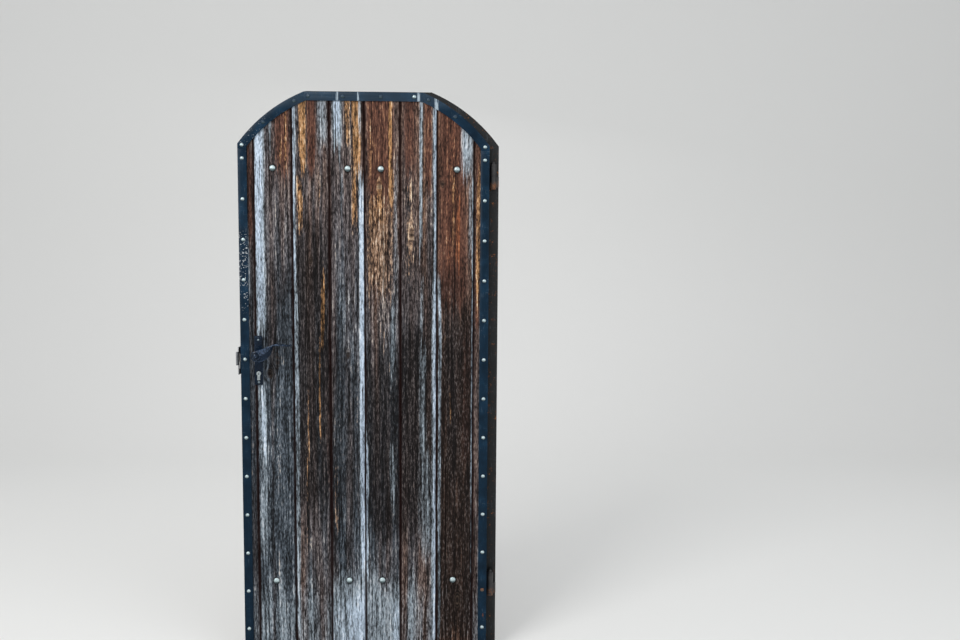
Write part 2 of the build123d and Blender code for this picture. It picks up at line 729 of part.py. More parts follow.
def lock_case():
    """A folded tray with the spring's post, open at the back until the cover closes it."""
    steel = CASE_STEEL
    case = bar(CASE_LEFT, CASE_RIGHT, CASE_FRONT, CASE_REAR - steel, CASE_LOW, CASE_HIGH)
    case -= bar(
        CASE_LEFT + steel,
        CASE_RIGHT - steel,
        CASE_FRONT + steel,
        CASE_REAR,
        CASE_LOW + steel,
        CASE_HIGH - steel,
    )
    case -= lock_openings(CASE_FRONT - OVER, CASE_FRONT + steel + OVER)
    ways = rectangle(CASE_FRONT - OVER, CASE_REAR + OVER, CASE_LOW, CASE_HIGH)
    ways -= bolt_ways(rectangle(CASE_FRONT - OVER, CASE_REAR + OVER, CASE_LOW, CASE_HIGH))
    case -= slab_x(ways, CASE_LEFT - OVER, CASE_LEFT + steel + OVER)
    post = spring_post()
    low = LATCH_Z - SPRING_POST_TALL
    case += bar(post, post + SPRING_POST, CASE_FRONT + steel, CASE_REAR - steel, low, LATCH_Z)
    return case


def lock_cover():
    cover = bar(CASE_LEFT, CASE_RIGHT, CASE_REAR - CASE_STEEL, CASE_REAR, CASE_LOW, CASE_HIGH)
    return cover - lock_openings(CASE_REAR - CASE_STEEL - OVER, CASE_REAR + OVER)


def latch_bolt():
    """A bevelled head, and a tail that the follower's arm draws back."""
    tip = LOCK_EDGE - LATCH_THROW
    rear = spring_start()
    front = BOARD_MIDDLE - LATCH_THICK / 2
    back = BOARD_MIDDLE + LATCH_THICK / 2
    bevel_start = LOCK_EDGE - LATCH_BEVEL_SETBACK
    outline = [(tip, front), (rear, front), (rear, back), (bevel_start, back), (tip, front + LATCH_NOSE)]
    head = make_face(Polyline(*outline, close=True))
    latch = column(head, LATCH_Z - LATCH_TALL / 2, LATCH_Z + LATCH_TALL / 2)
    bar_low = SPINDLE_Z + FOLLOWER_RADIUS + LATCH_BAR_GAP
    bar_high = bar_low + LATCH_BAR
    lug_left = LOCK_X + ARM_WIDTH / 2 + LATCH_SLACK
    lug_right = lug_left + LATCH_LUG
    riser_left = rear - LATCH_BAR
    latch += bar(riser_left, rear, front, front + LATCH_TAIL, LATCH_Z, bar_high)
    latch += bar(riser_left, lug_right, front, front + LATCH_TAIL, bar_low, bar_high)
    latch += bar(lug_left, lug_right, front, BOARD_MIDDLE + ARM_THICK / 2, bar_low, bar_high)
    return latch


def latch_spring():
    """A bent leaf between the latch's head and the post in the case."""
    left = spring_start() + SPRING_SEAT
    right = left + SPRING_SPREAD
    middle = (left + right) / 2
    foot = LATCH_Z - SPRING_FOOT
    tip = LATCH_Z - LATCH_TALL / 2
    leaf = Polyline((left, foot), (left + SPRING_LEAF, foot), (middle, tip + 2 * SPRING_LEAF))
    leaf += Polyline((middle, tip + 2 * SPRING_LEAF), (right - SPRING_LEAF, foot), (right, foot))
    leaf += Polyline((right, foot), (middle, tip), (left, foot))
    half = SPRING_WIDTH / 2
    return slab(make_face(leaf), BOARD_MIDDLE - half, BOARD_MIDDLE + half)


def dead_bolt():
    low = DEAD_Z - DEAD_TALL / 2
    high = DEAD_Z + DEAD_TALL / 2
    front = BOARD_MIDDLE - LATCH_THICK / 2
    back = BOARD_MIDDLE + LATCH_THICK / 2
    bolt = bar(LOCK_EDGE, LOCK_EDGE + DEAD_LENGTH, front, back, low, high)
    edges = bolt.edges().filter_by(Axis.Y).group_by(Axis.X)[0]
    return chamfer(edges, DEAD_CHAMFER)


def follower():
    """The square-holed hub with its upright arm, turning in the sides of the case."""
    piece = rod_y(LOCK_X, SPINDLE_Z, FOLLOWER_RADIUS, CASE_FRONT, CASE_REAR)
    half = ARM_WIDTH / 2
    arm = rectangle(LOCK_X - half, LOCK_X + half, SPINDLE_Z, SPINDLE_Z + ARM_REACH)
    piece += slab(arm, BOARD_MIDDLE - ARM_THICK / 2, BOARD_MIDDLE + ARM_THICK / 2)
    side = SPINDLE_SQUARE + 2 * SPINDLE_CLEARANCE
    return piece - square_y(LOCK_X, SPINDLE_Z, side, CASE_FRONT - OVER, CASE_REAR + OVER)


def spindle():
    front = BOARD_FRONT - PLATE_STEEL - SPINDLE_END
    back = BOARD_BACK + PLATE_STEEL + SPINDLE_END
    return square_y(LOCK_X, SPINDLE_Z, SPINDLE_SQUARE, front, back)


def cylinder_front():
    return BOARD_FRONT - PLATE_STEEL - CYLINDER_PROUD


def cylinder_back():
    return BOARD_BACK + PLATE_STEEL + CYLINDER_PROUD


def cylinder_body():
    """The keyhole-shaped body, cut away in the middle so that the cam can turn."""
    front, back = cylinder_front(), cylinder_back()
    body = slab(euro_profile(0), front, back)
    body -= rod_y(LOCK_X, KEY_Z, PLUG_RADIUS + PLUG_CLEARANCE, front - OVER, back + OVER)
    half = CAM_THICK / 2 + CAM_CLEARANCE
    reach = CAM_RADIUS + CAM_CLEARANCE
    body -= bar(
        LOCK_X - reach, LOCK_X + reach, BOARD_MIDDLE - half, BOARD_MIDDLE + half, KEY_Z - reach, KEY_Z + reach
    )
    side = CYLINDER_SCREW_SHANK + 2 * SHANK_CLEARANCE
    reach = CYLINDER_NECK + OVER
    return body - square_x(BOARD_MIDDLE, KEY_Z - CYLINDER_SCREW_DROP, side, LOCK_X - reach, LOCK_X + reach)


def cylinder_core():
    """Both plugs with the cam between them, and a keyway in each end."""
    core = rod_y(LOCK_X, KEY_Z, PLUG_RADIUS, cylinder_front(), cylinder_back())
    half = CAM_THICK / 2
    cam = Circle(PLUG_RADIUS) + Pos(0, -CAM_RADIUS / 2) * Rectangle(CAM_NOSE, CAM_RADIUS)
    cam = (Pos(LOCK_X, KEY_Z) * cam) & (Pos(LOCK_X, KEY_Z) * Circle(CAM_RADIUS))
    core += slab(cam, BOARD_MIDDLE - half, BOARD_MIDDLE + half)
    keyway = Pos(LOCK_X, KEY_Z) * Rectangle(KEYWAY_WIDTH, KEYWAY_TALL)
    core -= slab(keyway, cylinder_front() - OVER, cylinder_front() + KEYWAY_DEPTH)
    return core - slab(keyway, cylinder_back() - KEYWAY_DEPTH, cylinder_back() + OVER)


def cylinder_screw():
    """The long screw from the forend that holds the cylinder."""
    length = BACKSET + CYLINDER_NECK
    one = screw(CYLINDER_SCREW_HEAD, CYLINDER_SCREW_RISE, CYLINDER_SCREW_SHANK, length)
    return Pos(LOCK_EDGE, BOARD_MIDDLE, KEY_Z - CYLINDER_SCREW_DROP) * Rot(0, -90, 0) * one


# Handles
def backplate(y_near, y_far, out):
    """A long plate with a raised round-ended pad at each screw. out is -1 for the street side."""
    plate = Pos(LOCK_X, PLATE_Z) * Rectangle(PLATE_WIDTH, PLATE_HEIGHT)
    plate = chamfer(plate.vertices(), PLATE_CORNER)
    plate -= Pos(LOCK_X, SPINDLE_Z) * Circle(HUB_NECK_RADIUS + HUB_SEAT)
    plate -= euro_profile(CYLINDER_CLEARANCE)
    half = PAD_WIDTH / 2
    top = PLATE_TOP_Z - PAD_END_INSET
    pad = rectangle(LOCK_X - half, LOCK_X + half, top - PAD_LENGTH + half, top)
    pad += Pos(LOCK_X, top - PAD_LENGTH + half) * Circle(half)
    for z in PLATE_SCREW_Z:
        side = PLATE_SCREW_SHANK + 2 * SHANK_CLEARANCE
        hole = Pos(LOCK_X, z) * Rectangle(side, side)
        plate -= hole
        pad -= hole
    pad_near, pad_far = sorted((y_far, y_far + out * PAD_RISE))
    return slab(plate, *sorted((y_near, y_far))) + slab(pad, pad_near, pad_far)


def backplate_outside():
    return backplate(BOARD_FRONT, BOARD_FRONT - PLATE_STEEL, -1)


def backplate_inside():
    return backplate(BOARD_BACK, BOARD_BACK + PLATE_STEEL, 1)


def plate_screws():
    """Two screws from the street side that draw both plates together."""
    seats = (BOARD_FRONT - PLATE_STEEL - PAD_RISE, BOARD_FRONT - PLATE_STEEL)
    screws = []
    for z, seat in zip(PLATE_SCREW_Z, seats):
        length = BOARD_BACK + PLATE_STEEL - seat
        sizes = (PLATE_SCREW_HEAD, PLATE_SCREW_RISE, PLATE_SCREW_SHANK, length)
        screws.append(screw_facing_out(LOCK_X, seat, z, *sizes))
    return screws


def lever_hub():
    """The hub along +z from its seat: neck, collar and a head with a bevelled crown."""
    collar_end = HUB_COLLAR_START + HUB_COLLAR_LENGTH
    head_start = collar_end + HUB_GROOVE
    crown_start = HUB_PROUD - HUB_CROWN
    hub = column(Circle(HUB_NECK_RADIUS), 0, head_start)
    collar = RegularPolygon(HUB_COLLAR_RADIUS, HUB_HEAD_SIDES, major_radius=False)
    hub += column(collar, HUB_COLLAR_START, collar_end)
    head = RegularPolygon(HUB_HEAD_RADIUS, HUB_HEAD_SIDES, major_radius=False)
    hub += column(head, head_start, crown_start)
    return hub + Pos(0, 0, crown_start) * tapered(head, HUB_CROWN, HUB_CROWN_INSET)


def lever_blade():
    """Front view of the grip: an upright web at the hub, and a wavy strap that lies flat."""
    knee = (BLADE_KNEE_X, BLADE_RISE)
    wave = ((BLADE_KNEE_X + BLADE_LENGTH) / 2, BLADE_RISE - BLADE_WAVE)
    end = (BLADE_LENGTH, BLADE_RISE + BLADE_WAVE)
    lower = [ThreePointArc(BLADE_ROOT, BLADE_BEND, knee), ThreePointArc(knee, wave, end)]
    upper = [Pos(0, BLADE_STEEL) * edge for edge in lower]
    ends = [Line((x, z), (x, z + BLADE_STEEL)) for x, z in (BLADE_ROOT, end)]
    blade = slab(make_face(lower + upper + ends), -BLADE_WIDTH / 2, BLADE_WIDTH / 2)
    web = Polyline(
        (0, -WEB_DROP),
        WEB_BELLY,
        (WEB_LENGTH, BLADE_RISE),
        (WEB_LENGTH, BLADE_RISE + BLADE_STEEL / 2),
        WEB_BACK,
        (0, HUB_NECK_RADIUS),
        close=True,
    )
    return blade + slab(make_face(web), -WEB_STEEL / 2, WEB_STEEL / 2)


def lever(side):
    """A lever from its seat on the plate outwards. side is -1 on the street side, 1 inside."""
    seat = BOARD_FRONT - PLATE_STEEL if side < 0 else BOARD_BACK + PLATE_STEEL
    hub = Rot(-90 * side, 0, 0) * lever_hub()
    blade = Pos(0, side * BLADE_PROUD, 0) * lever_blade()
    piece = Pos(LOCK_X, seat + side * HUB_SEAT, SPINDLE_Z) * (hub + blade)
    square = SPINDLE_SQUARE + 2 * SPINDLE_CLEARANCE
    ends = sorted((seat - side, seat + side * (SPINDLE_END + SPINDLE_END_CLEARANCE)))
    piece -= square_y(LOCK_X, SPINDLE_Z, square, *ends)
    return piece - lever_pin(side, LEVER_PIN_SIDE + 2 * LEVER_PIN_CLEARANCE, HUB_NECK_RADIUS + OVER)


def lever_pin(side, width, reach):
    """The grub screw's space under the hub, between the spindle and a depth below it."""
    seat = BOARD_FRONT - PLATE_STEEL if side < 0 else BOARD_BACK + PLATE_STEEL
    y = seat + side * SPINDLE_END / 2
    half = width / 2
    return bar(
        LOCK_X - half, LOCK_X + half, y - half, y + half, SPINDLE_Z - reach, SPINDLE_Z - SPINDLE_SQUARE / 2
    )


def lever_pins():
    """Grub screws that hold the levers on the spindle, as separate solids."""
    return [lever_pin(side, LEVER_PIN_SIDE, HUB_NECK_RADIUS - LEVER_PIN_SETBACK) for side in (-1, 1)]


# All pieces
def pieces():
    inside_edging = slab(leaf_outline(EDGING_STEEL), BOARD_FRONT, BOARD_BACK)
    mortise = lock_mortise()
    found = {
        "outer_frame": outer_frame(),
        "strike_plate": strike_plate(),
        "strike_screws": strike_screws(),
        "leaf_edging": leaf_edging(),
        "edging_screws": edging_screws(),
        "carriage_bolts": carriage_bolts(),
        "bolt_nuts": bolt_nuts(),
        "forend_plate": forend_plate(),
        "forend_screws": forend_screws(),
        "lock_case": lock_case(),
        "lock_cover": lock_cover(),
        "latch_bolt": latch_bolt(),
        "latch_spring": latch_spring(),
        "dead_bolt": dead_bolt(),
        "follower": follower(),
        "spindle": spindle(),
        "cylinder_body": cylinder_body(),
        "cylinder_core": cylinder_core(),
        "cylinder_screw": cylinder_screw(),
        "backplate_outside": backplate_outside(),
        "backplate_inside": backplate_inside(),
        "plate_screws": plate_screws(),
        "lever_outside": lever(-1),
        "lever_inside": lever(1),
        "lever_pins": lever_pins(),
    }
    for number in range(len(BOARD_WIDTHS)):
        found[f"board_{number + 1}"] = board(number, inside_edging, mortise)
    for hinge in HINGE_HEIGHTS:
        found[f"pintle_{hinge}"] = pintle(hinge)
        found[f"strap_{hinge}"] = strap(hinge)
    return found


def save(name, shape):
    solids = shape if isinstance(shape, list) else [shape]
    parts = [solid for item in solids for solid in item.solids()]
    whole = parts[0] if len(parts) == 1 else Compound(children=parts)
    export_step(whole, os.path.join("parts", name + ".step"))


for piece_name, piece_shape in pieces().items():
    save(piece_name, piece_shape)
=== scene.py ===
import bpy
import bmesh
from functools import reduce
from math import cos, pi, radians, sin, sqrt
import numpy as np
from mathutils import Matrix, Vector


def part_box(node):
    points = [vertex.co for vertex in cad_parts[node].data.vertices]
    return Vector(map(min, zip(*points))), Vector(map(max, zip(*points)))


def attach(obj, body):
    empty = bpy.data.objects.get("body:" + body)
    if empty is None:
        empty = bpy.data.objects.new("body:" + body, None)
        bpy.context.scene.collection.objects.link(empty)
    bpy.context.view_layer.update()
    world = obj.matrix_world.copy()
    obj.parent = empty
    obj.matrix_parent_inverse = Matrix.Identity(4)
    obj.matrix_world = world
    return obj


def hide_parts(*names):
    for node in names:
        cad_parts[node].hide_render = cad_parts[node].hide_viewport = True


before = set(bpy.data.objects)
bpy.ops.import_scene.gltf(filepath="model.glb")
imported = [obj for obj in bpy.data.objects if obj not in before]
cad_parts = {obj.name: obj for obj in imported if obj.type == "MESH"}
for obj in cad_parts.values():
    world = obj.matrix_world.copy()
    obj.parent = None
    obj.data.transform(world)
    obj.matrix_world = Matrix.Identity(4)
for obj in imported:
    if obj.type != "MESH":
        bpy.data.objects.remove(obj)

bl_info = {
    "name": "Arched plank door",
    "version": (1, 0, 0),
    "blender": (4, 5, 0),
    "location": "3D View > Sidebar > Door",
    "description": "Dresses the packed door with weathered boards, painted steel and iron fittings",
    "category": "Object",
}

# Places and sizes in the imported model, in metres
LEAF_LOW, LEAF_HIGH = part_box("leaf_edging")
BOARD_FRONT, BOARD_BACK = (corner.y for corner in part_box("board_4"))
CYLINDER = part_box("cylinder_body")
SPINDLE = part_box("spindle")
LOCK_X = (SPINDLE[0].x + SPINDLE[1].x) / 2
SPINDLE_Z = (SPINDLE[0].z + SPINDLE[1].z) / 2
LAST_BOARD = 8
LOCK_BOARDS = (1, 2)
EDGING_STEEL = 0.004
PLATE_THICKNESS = 0.0025
# The leaf's outline: half the flat across its top, the radius of its shoulders and the height of their centre
FLAT_TOP = 0.214
SHOULDER = 0.566
SHOULDER_Z = LEAF_HIGH.z - sqrt(SHOULDER**2 - FLAT_TOP**2)

# A board's section: tongue, groove, the V at each joint with the shares of its width and depth, and the
# eased edges at the back
TONGUE, TONGUE_HALF = 0.008, 0.004
GROOVE_DEPTH, GROOVE_HALF = 0.0088, 0.0043
VEE, VEE_DEPTH = 0.0036, 0.004
VEE_STEPS = ((0.55, 0.45), (0.15, 0.85), (0.0, 1.0))
BACK_BEVEL, BACK_COLUMNS = 0.0016, 10
BOARD_GAP = 0.0002
# Kinds of points on that section
CUT, FACE, VEE_SIDE, BACK_EDGE = range(4)
# Room for the lock, the spindle and the cylinder in the boards, and how far their cutters reach past the wood
LOCK_GAP, SPINDLE_HOLE, CYLINDER_GAP, PAST_WOOD = 0.0005, 0.0102, 0.0004, 0.01

# Weathering that was laid on, listed in millimetres: board, layer, left, right, low, high, strength
STREAKS = (
    (1, "silver", -427, -418, 1345, 1655, 0.7),
    (1, "red", -425, -402, 1564, 1923, 0.8),
    (1, "silver", -432, -423, 56, 1345, 0.6),
    (1, "gloom", -450, -390, 56, 1900, 0.35),
    (2, "gloom", -470, -200, 1130, 1480, 0.3),
    (2, "silver", -402, -360, 1217, 2002, 1.2),
    (2, "silver", -345, -330, 1889, 2017, 0.9),
    (2, "silver", -396, -363, 712, 1031, 1.1),
    (2, "silver", -394, -360, 367, 712, 0.7),
    (2, "silver", -364, -334, 367, 749, 0.45),
    (2, "ochre", -403, -397, 1217, 1834, 0.9),
    (2, "red", -327, -266, 1800, 2038, 0.8),
    (2, "ochre", -306, -297, 1835, 1960, 0.8),
    (2, "ochre", -286, -279, 1836, 2024, 0.7),
    (2, "ochre", -341, -334, 1346, 1485, 0.5),
    (3, "gloom", -330, -60, 560, 1560, 0.8),
    (3, "gloom", -230, -120, 1450, 1640, 0.45),
    (3, "silver", -263, -247, 1346, 2067, 1.1),
    (3, "silver", -265, -243, 55, 1383, 0.95),
    (3, "ochre", -237, -211, 1797, 2071, 1.0),
    (3, "ochre", -245, -225, 1595, 1818, 0.95),
    (3, "red", -209, -173, 1819, 2071, 0.85),
    (3, "silver", -172, -129, 1891, 2072, 0.8),
    (3, "ochre", -168, -158, 1668, 1768, 0.7),
    (3, "ochre", -161, -147, 1192, 1398, 1.3),
    (3, "ochre", -170, -163, 882, 1206, 0.75),
    (3, "ochre", -214, -206, 711, 1028, 0.38),
    (3, "ochre", -222, -208, 366, 749, 0.42),
    (3, "red", -148, -130, 673, 1236, 0.4),
    (4, "gloom", -195, 60, 520, 1120, 0.4),
    (4, "silver", -110, -30, 1180, 1440, 0.35),
    (4, "silver", -117, -79, 1891, 2072, 1.15),
    (4, "silver", -88, -73, 1668, 1819, 0.6),
    (4, "ochre", -72, -50, 1891, 2069, 0.7),
    (4, "ochre", -47, -11, 1791, 2073, 1.0),
    (4, "ochre", -48, -26, 1596, 1834, 0.85),
    (4, "silver", -23, -9, 1928, 2073, 0.7),
    (4, "silver", -21, 2, 288, 1798, 1.3),
    (4, "dark", -114, -66, 1050, 1255, 0.45),
    (4, "ochre", -116, -103, 424, 780, 0.35),
    (5, "gloom", -60, 180, 480, 1140, 0.8),
    (5, "ochre", 4, 104, 1330, 1740, 0.66),
    (5, "silver", 10, 104, 1180, 1700, 0.46),
    (5, "red", 7, 105, 1713, 2074, 1.0),
    (5, "ochre", 88, 101, 1720, 2071, 1.0),
    (5, "ochre", 83, 108, 1735, 1821, 0.8),
    (5, "ochre", 11, 50, 1785, 1971, 0.45),
    (5, "ochre", 39, 68, 1597, 1813, 0.75),
    (5, "ochre", 58, 69, 1821, 2071, 0.35),
    (5, "ochre", 46, 62, 1750, 1784, 1.3),
    (5, "silver", 106, 130, 1237, 1875, 0.5),
    (5, "silver", 92, 114, 1043, 1363, 0.6),
    (5, "silver", -1, 14, 288, 825, 1.15),
    (5, "silver", 88, 114, 558, 787, 0.65),
    (5, "ochre", 20, 95, 1180, 1440, 0.42),
    (6, "gloom", 60, 275, 470, 1260, 1.0),
    (6, "gloom", 60, 275, 1200, 1560, 0.3),
    (6, "ochre", 140, 190, 1400, 1800, 0.3),
    (6, "red", 137, 192, 1786, 2075, 0.65),
    (6, "silver", 199, 213, 1532, 2076, 0.9),
    (6, "red", 217, 246, 1750, 2065, 0.8),
    (6, "silver", 251, 271, 51, 2059, 1.3),
    (6, "silver", 246, 275, 51, 1480, 1.15),
    (6, "silver", 203, 219, 1182, 1495, 0.6),
    (6, "silver", 199, 229, 749, 1200, 0.8),
    (6, "silver", 196, 252, 364, 787, 0.65),
    (7, "gloom", 210, 470, 60, 1300, 1.0),
    (7, "gloom", 240, 360, 1280, 1460, 0.6),
    (7, "red", 268, 376, 1320, 2030, 0.95),
    (7, "ochre", 318, 335, 1500, 1812, 0.4),
    (7, "red", 298, 322, 1360, 1640, 1.0),
    (7, "red", 324, 358, 1400, 1790, 1.12),
    (7, "silver", 351, 402, 1788, 2010, 0.9),
    (7, "silver", 378, 400, 1497, 1824, 0.55),
    (7, "silver", 392, 406, 208, 1824, 1.1),
    (7, "silver", 269, 281, 51, 1422, 1.1),
    (7, "red", 356, 393, 711, 1238, 0.6),
    (7, "ochre", 313, 321, 935, 969, 1.1),
    (8, "ochre", 408, 426, 1349, 1824, 0.7),
    (8, "silver", 421, 432, 901, 1661, 0.8),
    (8, "red", 404, 422, 1238, 2010, 0.7),
    (8, "silver", 418, 433, 50, 901, 0.45),
)
LAYERS = ("silver", "ochre", "red", "dark", "gloom")
# Streaks that end above this height, in millimetres, run out at the leaf's top
RUNS_OUT = 1985
# How far the splashed foot of each board has silvered
FOOT = (0.35, 0.62, 0.5, 1.15, 1.05, 0.55, 0.3, 0.45)
# How far each board has turned from brown to grey at three heights in metres
AGE_HEIGHTS = (0.5, 1.15, 1.8)
AGES = (
    (0.7, 0.6, 0.45),
    (1.2, 1.0, 0.45),
    (0.6, 0.7, 0.4),
    (0.85, 0.9, 0.5),
    (1.0, 0.9, 0.15),
    (0.5, 0.65, 0.3),
    (0.1, 0.25, 0.1),
    (0.6, 0.5, 0.35),
)

# Knots, and one old hole, in millimetres: board, x, z, radius, how much longer than wide the grain runs round
# it, darkness
KNOTS = (
    (2, -322, 1121, 9, 3.4, 0.35),
    # An old hole, not a knot: its dark middle is painted shade, with no hole in the mesh
    (2, -351, 1073, 12, 1.5, 1.3),
    (5, 54, 1762, 9, 2.6, 0.3),
    (7, 345, 208, 12, 2.6, 0.7),
    (7, 285, 1772, 8, 2.2, 0.9),
    (6, 208, 224, 7, 1.8, 0.3),
    (4, -62, 1150, 7, 3.0, 0.6),
    (3, -196, 1492, 6, 2.8, 0.6),
    (6, 172, 1586, 9, 3.2, 0.7),
)

# Drying cracks and missing slivers in millimetres: board, x, low, high, width, depth
CRACKS = (
    (2, -321, 1010, 1215, 2.6, 2.4),
    (2, -345, 470, 700, 3.0, 2.6),
    (2, -300, 120, 330, 2.4, 2.0),
    (3, -178, 900, 1180, 2.6, 2.2),
    (3, -227, 132, 190, 8.0, 5.0),
    (3, -251, 840, 1010, 3.2, 2.6),
    (4, -88, 400, 640, 2.8, 2.4),
    (4, -40, 1180, 1420, 2.4, 2.0),
    (5, 70, 1330, 1640, 2.6, 2.2),
    (5, 30, 560, 800, 2.6, 2.2),
    (6, 237, 590, 690, 5.0, 4.0),
    (6, 221, 1050, 1260, 2.6, 2.2),
    (7, 300, 380, 760, 2.8, 2.4),
    (7, 330, 1240, 1500, 2.4, 2.2),
    (7, 372, 820, 980, 2.6, 2.0),
)

# Painted light: pale patches of sunlight across the edging's top, in metres: centre, half width, lower end
PAINTED_SUN_PATCHES = ((-0.096, 0.0035, 2.06), (-0.020, 0.003, 2.06), (0.197, 0.0045, 2.06), (0.262, 0.006, 2.02))

# Screw sizes that follow the solids, in metres: head radius, head rise, shank radius, shank length
PLATE_SCREW = (0.0045, 0.0018, 0.002, 0.0385)
FOREND_SCREW = (0.0042, 0.0016, 0.0015, 0.0155)
STRIKE_SCREW = (0.0045, 0.002, 0.002, 0.008)
# The edging screws' shank radius and length, and the carriage bolts' shank radius
EDGING_SHANK = (0.0028, 0.009)
BOLT_SHANK = 0.0049
# Tones that zinc_finish reads from a head
BRIGHT, PART_PAINTED, PAINTED, RUSTY = 0.0, 0.55, 1.0, 2.0

# Lock pieces with eased edges: node, rounding, body, slot
LOCK_PIECES = (
    ("cylinder_body", 0.0004, "leaf", "cylinder_nickel"),
    ("cylinder_core", 0.0003, "core", "cylinder_nickel"),
    ("forend_plate", 0.0004, "leaf", "strike_steel"),
    ("strike_plate", 0.0004, "frame", "strike_steel"),
    ("latch_bolt", 0.0005, "latch", "lock_steel"),
    ("dead_bolt", 0.0004, "dead_bolt", "lock_steel"),
)
HIDDEN_LOCK_NODES = ("lock_case", "lock_cover", "latch_spring", "follower", "spindle")

# Profile of a lever's hub: radius, distance out of its plate
LEVER_HEAD = (
    (0.0100, 0.0003), (0.0100, 0.0300), (0.0125, 0.0315), (0.0125, 0.0350),
    (0.0106, 0.0362), (0.0106, 0.0376), (0.0150, 0.0392), (0.0166, 0.0412),
    (0.0166, 0.0492), (0.0156, 0.0516), (0.0136, 0.0528), (0.0124, 0.0534),
    (0.0116, 0.0560), (0.0094, 0.0590), (0.0060, 0.0610), (0.0022, 0.0618),
)
# The hub's end, where the coat is shown worn and lighter, partly wear and partly a painted highlight, except
# between the two radii
CAP_REACH, CAP_TIP, CAP_RIM = 0.0492, 0.0065, 0.0145
HUB_SIDES = 48
# Grip stations: right, up, half width, twist from upright to flat in degrees, half thickness, in millimetres
LEVER_GRIP = (
    (-17.5, -1.5, 6.0, 0, 1.4),
    (-14.5, -2.0, 12.0, 0, 2.2),
    (-7.0, -2.5, 17.5, 0, 2.6),
    (4.0, -2.5, 20.5, 0, 2.8),
    (15.0, -1.0, 21.0, 4, 2.8),
    (27.0, 4.5, 20.5, 10, 2.8),
    (38.0, 13.0, 18.5, 22, 2.9),
    (47.0, 22.5, 15.5, 40, 3.1),
    (55.5, 31.5, 11.5, 62, 3.4),
    (64.0, 37.0, 9.0, 80, 3.8),
    (75.0, 39.8, 8.4, 90, 4.1),
    (88.0, 40.2, 8.2, 90, 4.1),
    (100.0, 38.6, 8.2, 90, 3.9),
    (112.0, 36.8, 8.0, 90, 3.7),
    (122.0, 37.6, 7.2, 90, 3.3),
    (129.0, 39.4, 5.6, 90, 2.6),
)
GRIP_REACH = 0.0460
GRIP_STEPS = 5
GRIP_SIDES = 20
# The sides of the grip's section that lie on its narrow edges, in the worn and lighter coat: partly wear,
# partly a painted highlight
GRIP_EDGES = (0, 1, 8, 9, 10, 11, 18, 19)

# The camera's place in metres and its turns from level about z, x and y in degrees
CAMERA_PLACE = (0.322, -3.378, 1.563)
CAMERA_TURNS = ((-1.77, "Z"), (-4.96, "X"), (-0.38, "Y"))

# Settings that a user would change
COLOUR = {"subtype": "COLOR", "size": 3, "min": 0, "max": 1}
LENGTH = {"subtype": "DISTANCE", "unit": "LENGTH"}


class DoorWood(bpy.types.PropertyGroup):
    stain: bpy.props.FloatVectorProperty(
        name="Stain", description="Colour of the old brown stain",
        default=(0.110, 0.062, 0.043), **COLOUR,
    )
    red_stain: bpy.props.FloatVectorProperty(
        name="Red stain", description="Colour where the stain has stayed red",
        default=(0.098, 0.044, 0.031), **COLOUR,
    )
    bare_wood: bpy.props.FloatVectorProperty(
        name="Bare wood", description="Colour of wood laid bare under the stain",
        default=(0.34, 0.180, 0.078), **COLOUR,
    )
    silvered: bpy.props.FloatVectorProperty(
        name="Silvered wood", description="Colour of fully weathered wood",
        default=(0.25, 0.295, 0.335), **COLOUR,
    )
    aged: bpy.props.FloatVectorProperty(
        name="Aged wood", description="Colour of half weathered wood",
        default=(0.060, 0.073, 0.089), **COLOUR,
    )
    column_step: bpy.props.FloatProperty(
        name="Column step", description="Spacing of the mesh across a board", default=0.0017,
        min=0.001, max=0.01, **LENGTH,
    )
    row_step: bpy.props.FloatProperty(
        name="Row step", description="Spacing of the mesh along a board", default=0.008,
        min=0.004, max=0.05, **LENGTH,
    )
    ridge: bpy.props.FloatProperty(
        name="Ridge height", description="Height of the weathered grain", default=0.0005,
        min=0.0, max=0.002, **LENGTH,
    )


class DoorMetal(bpy.types.PropertyGroup):
    edging: bpy.props.FloatVectorProperty(
        name="Edging paint", description="Colour of the paint on the steel edging",
        default=(0.004, 0.018, 0.037), **COLOUR,
    )
    frame_paint: bpy.props.FloatVectorProperty(
        name="Frame paint", description="Colour of the paint on the outer frame",
        default=(0.006, 0.007, 0.008), **COLOUR,
    )
    handle: bpy.props.FloatVectorProperty(
        name="Handle coat", description="Colour of the coat on the handles",
        default=(0.004, 0.010, 0.021), **COLOUR,
    )
    zinc: bpy.props.FloatVectorProperty(
        name="Zinc", description="Colour of the galvanised heads",
        default=(0.50, 0.62, 0.65), **COLOUR,
    )
    rust: bpy.props.FloatVectorProperty(
        name="Rust", description="Colour of rust",
        default=(0.23, 0.075, 0.022), **COLOUR,
    )
    edge_round: bpy.props.FloatProperty(
        name="Edge rounding", description="Rounding of the steel bars' edges", default=0.0006,
        min=0.0, max=0.002, **LENGTH,
    )


class DoorFasteners(bpy.types.PropertyGroup):
    screw_head: bpy.props.FloatProperty(
        name="Screw head radius", description="Radius of the edging screws' heads", default=0.0070,
        min=0.003, max=0.012, **LENGTH,
    )
    screw_rise: bpy.props.FloatProperty(
        name="Screw head rise", description="How far the edging screws' heads stand out", default=0.0040,
        min=0.001, max=0.006, **LENGTH,
    )
    bolt_head: bpy.props.FloatProperty(
        name="Bolt head radius", description="Radius of the carriage bolts' heads", default=0.0110,
        min=0.008, max=0.02, **LENGTH,
    )
    bolt_rise: bpy.props.FloatProperty(
        name="Bolt head rise", description="How far the carriage bolts' heads stand out", default=0.0055,
        min=0.002, max=0.01, **LENGTH,
    )
    seed: bpy.props.IntProperty(name="Seed", description="Fixes how the heads are turned", default=7, min=0)


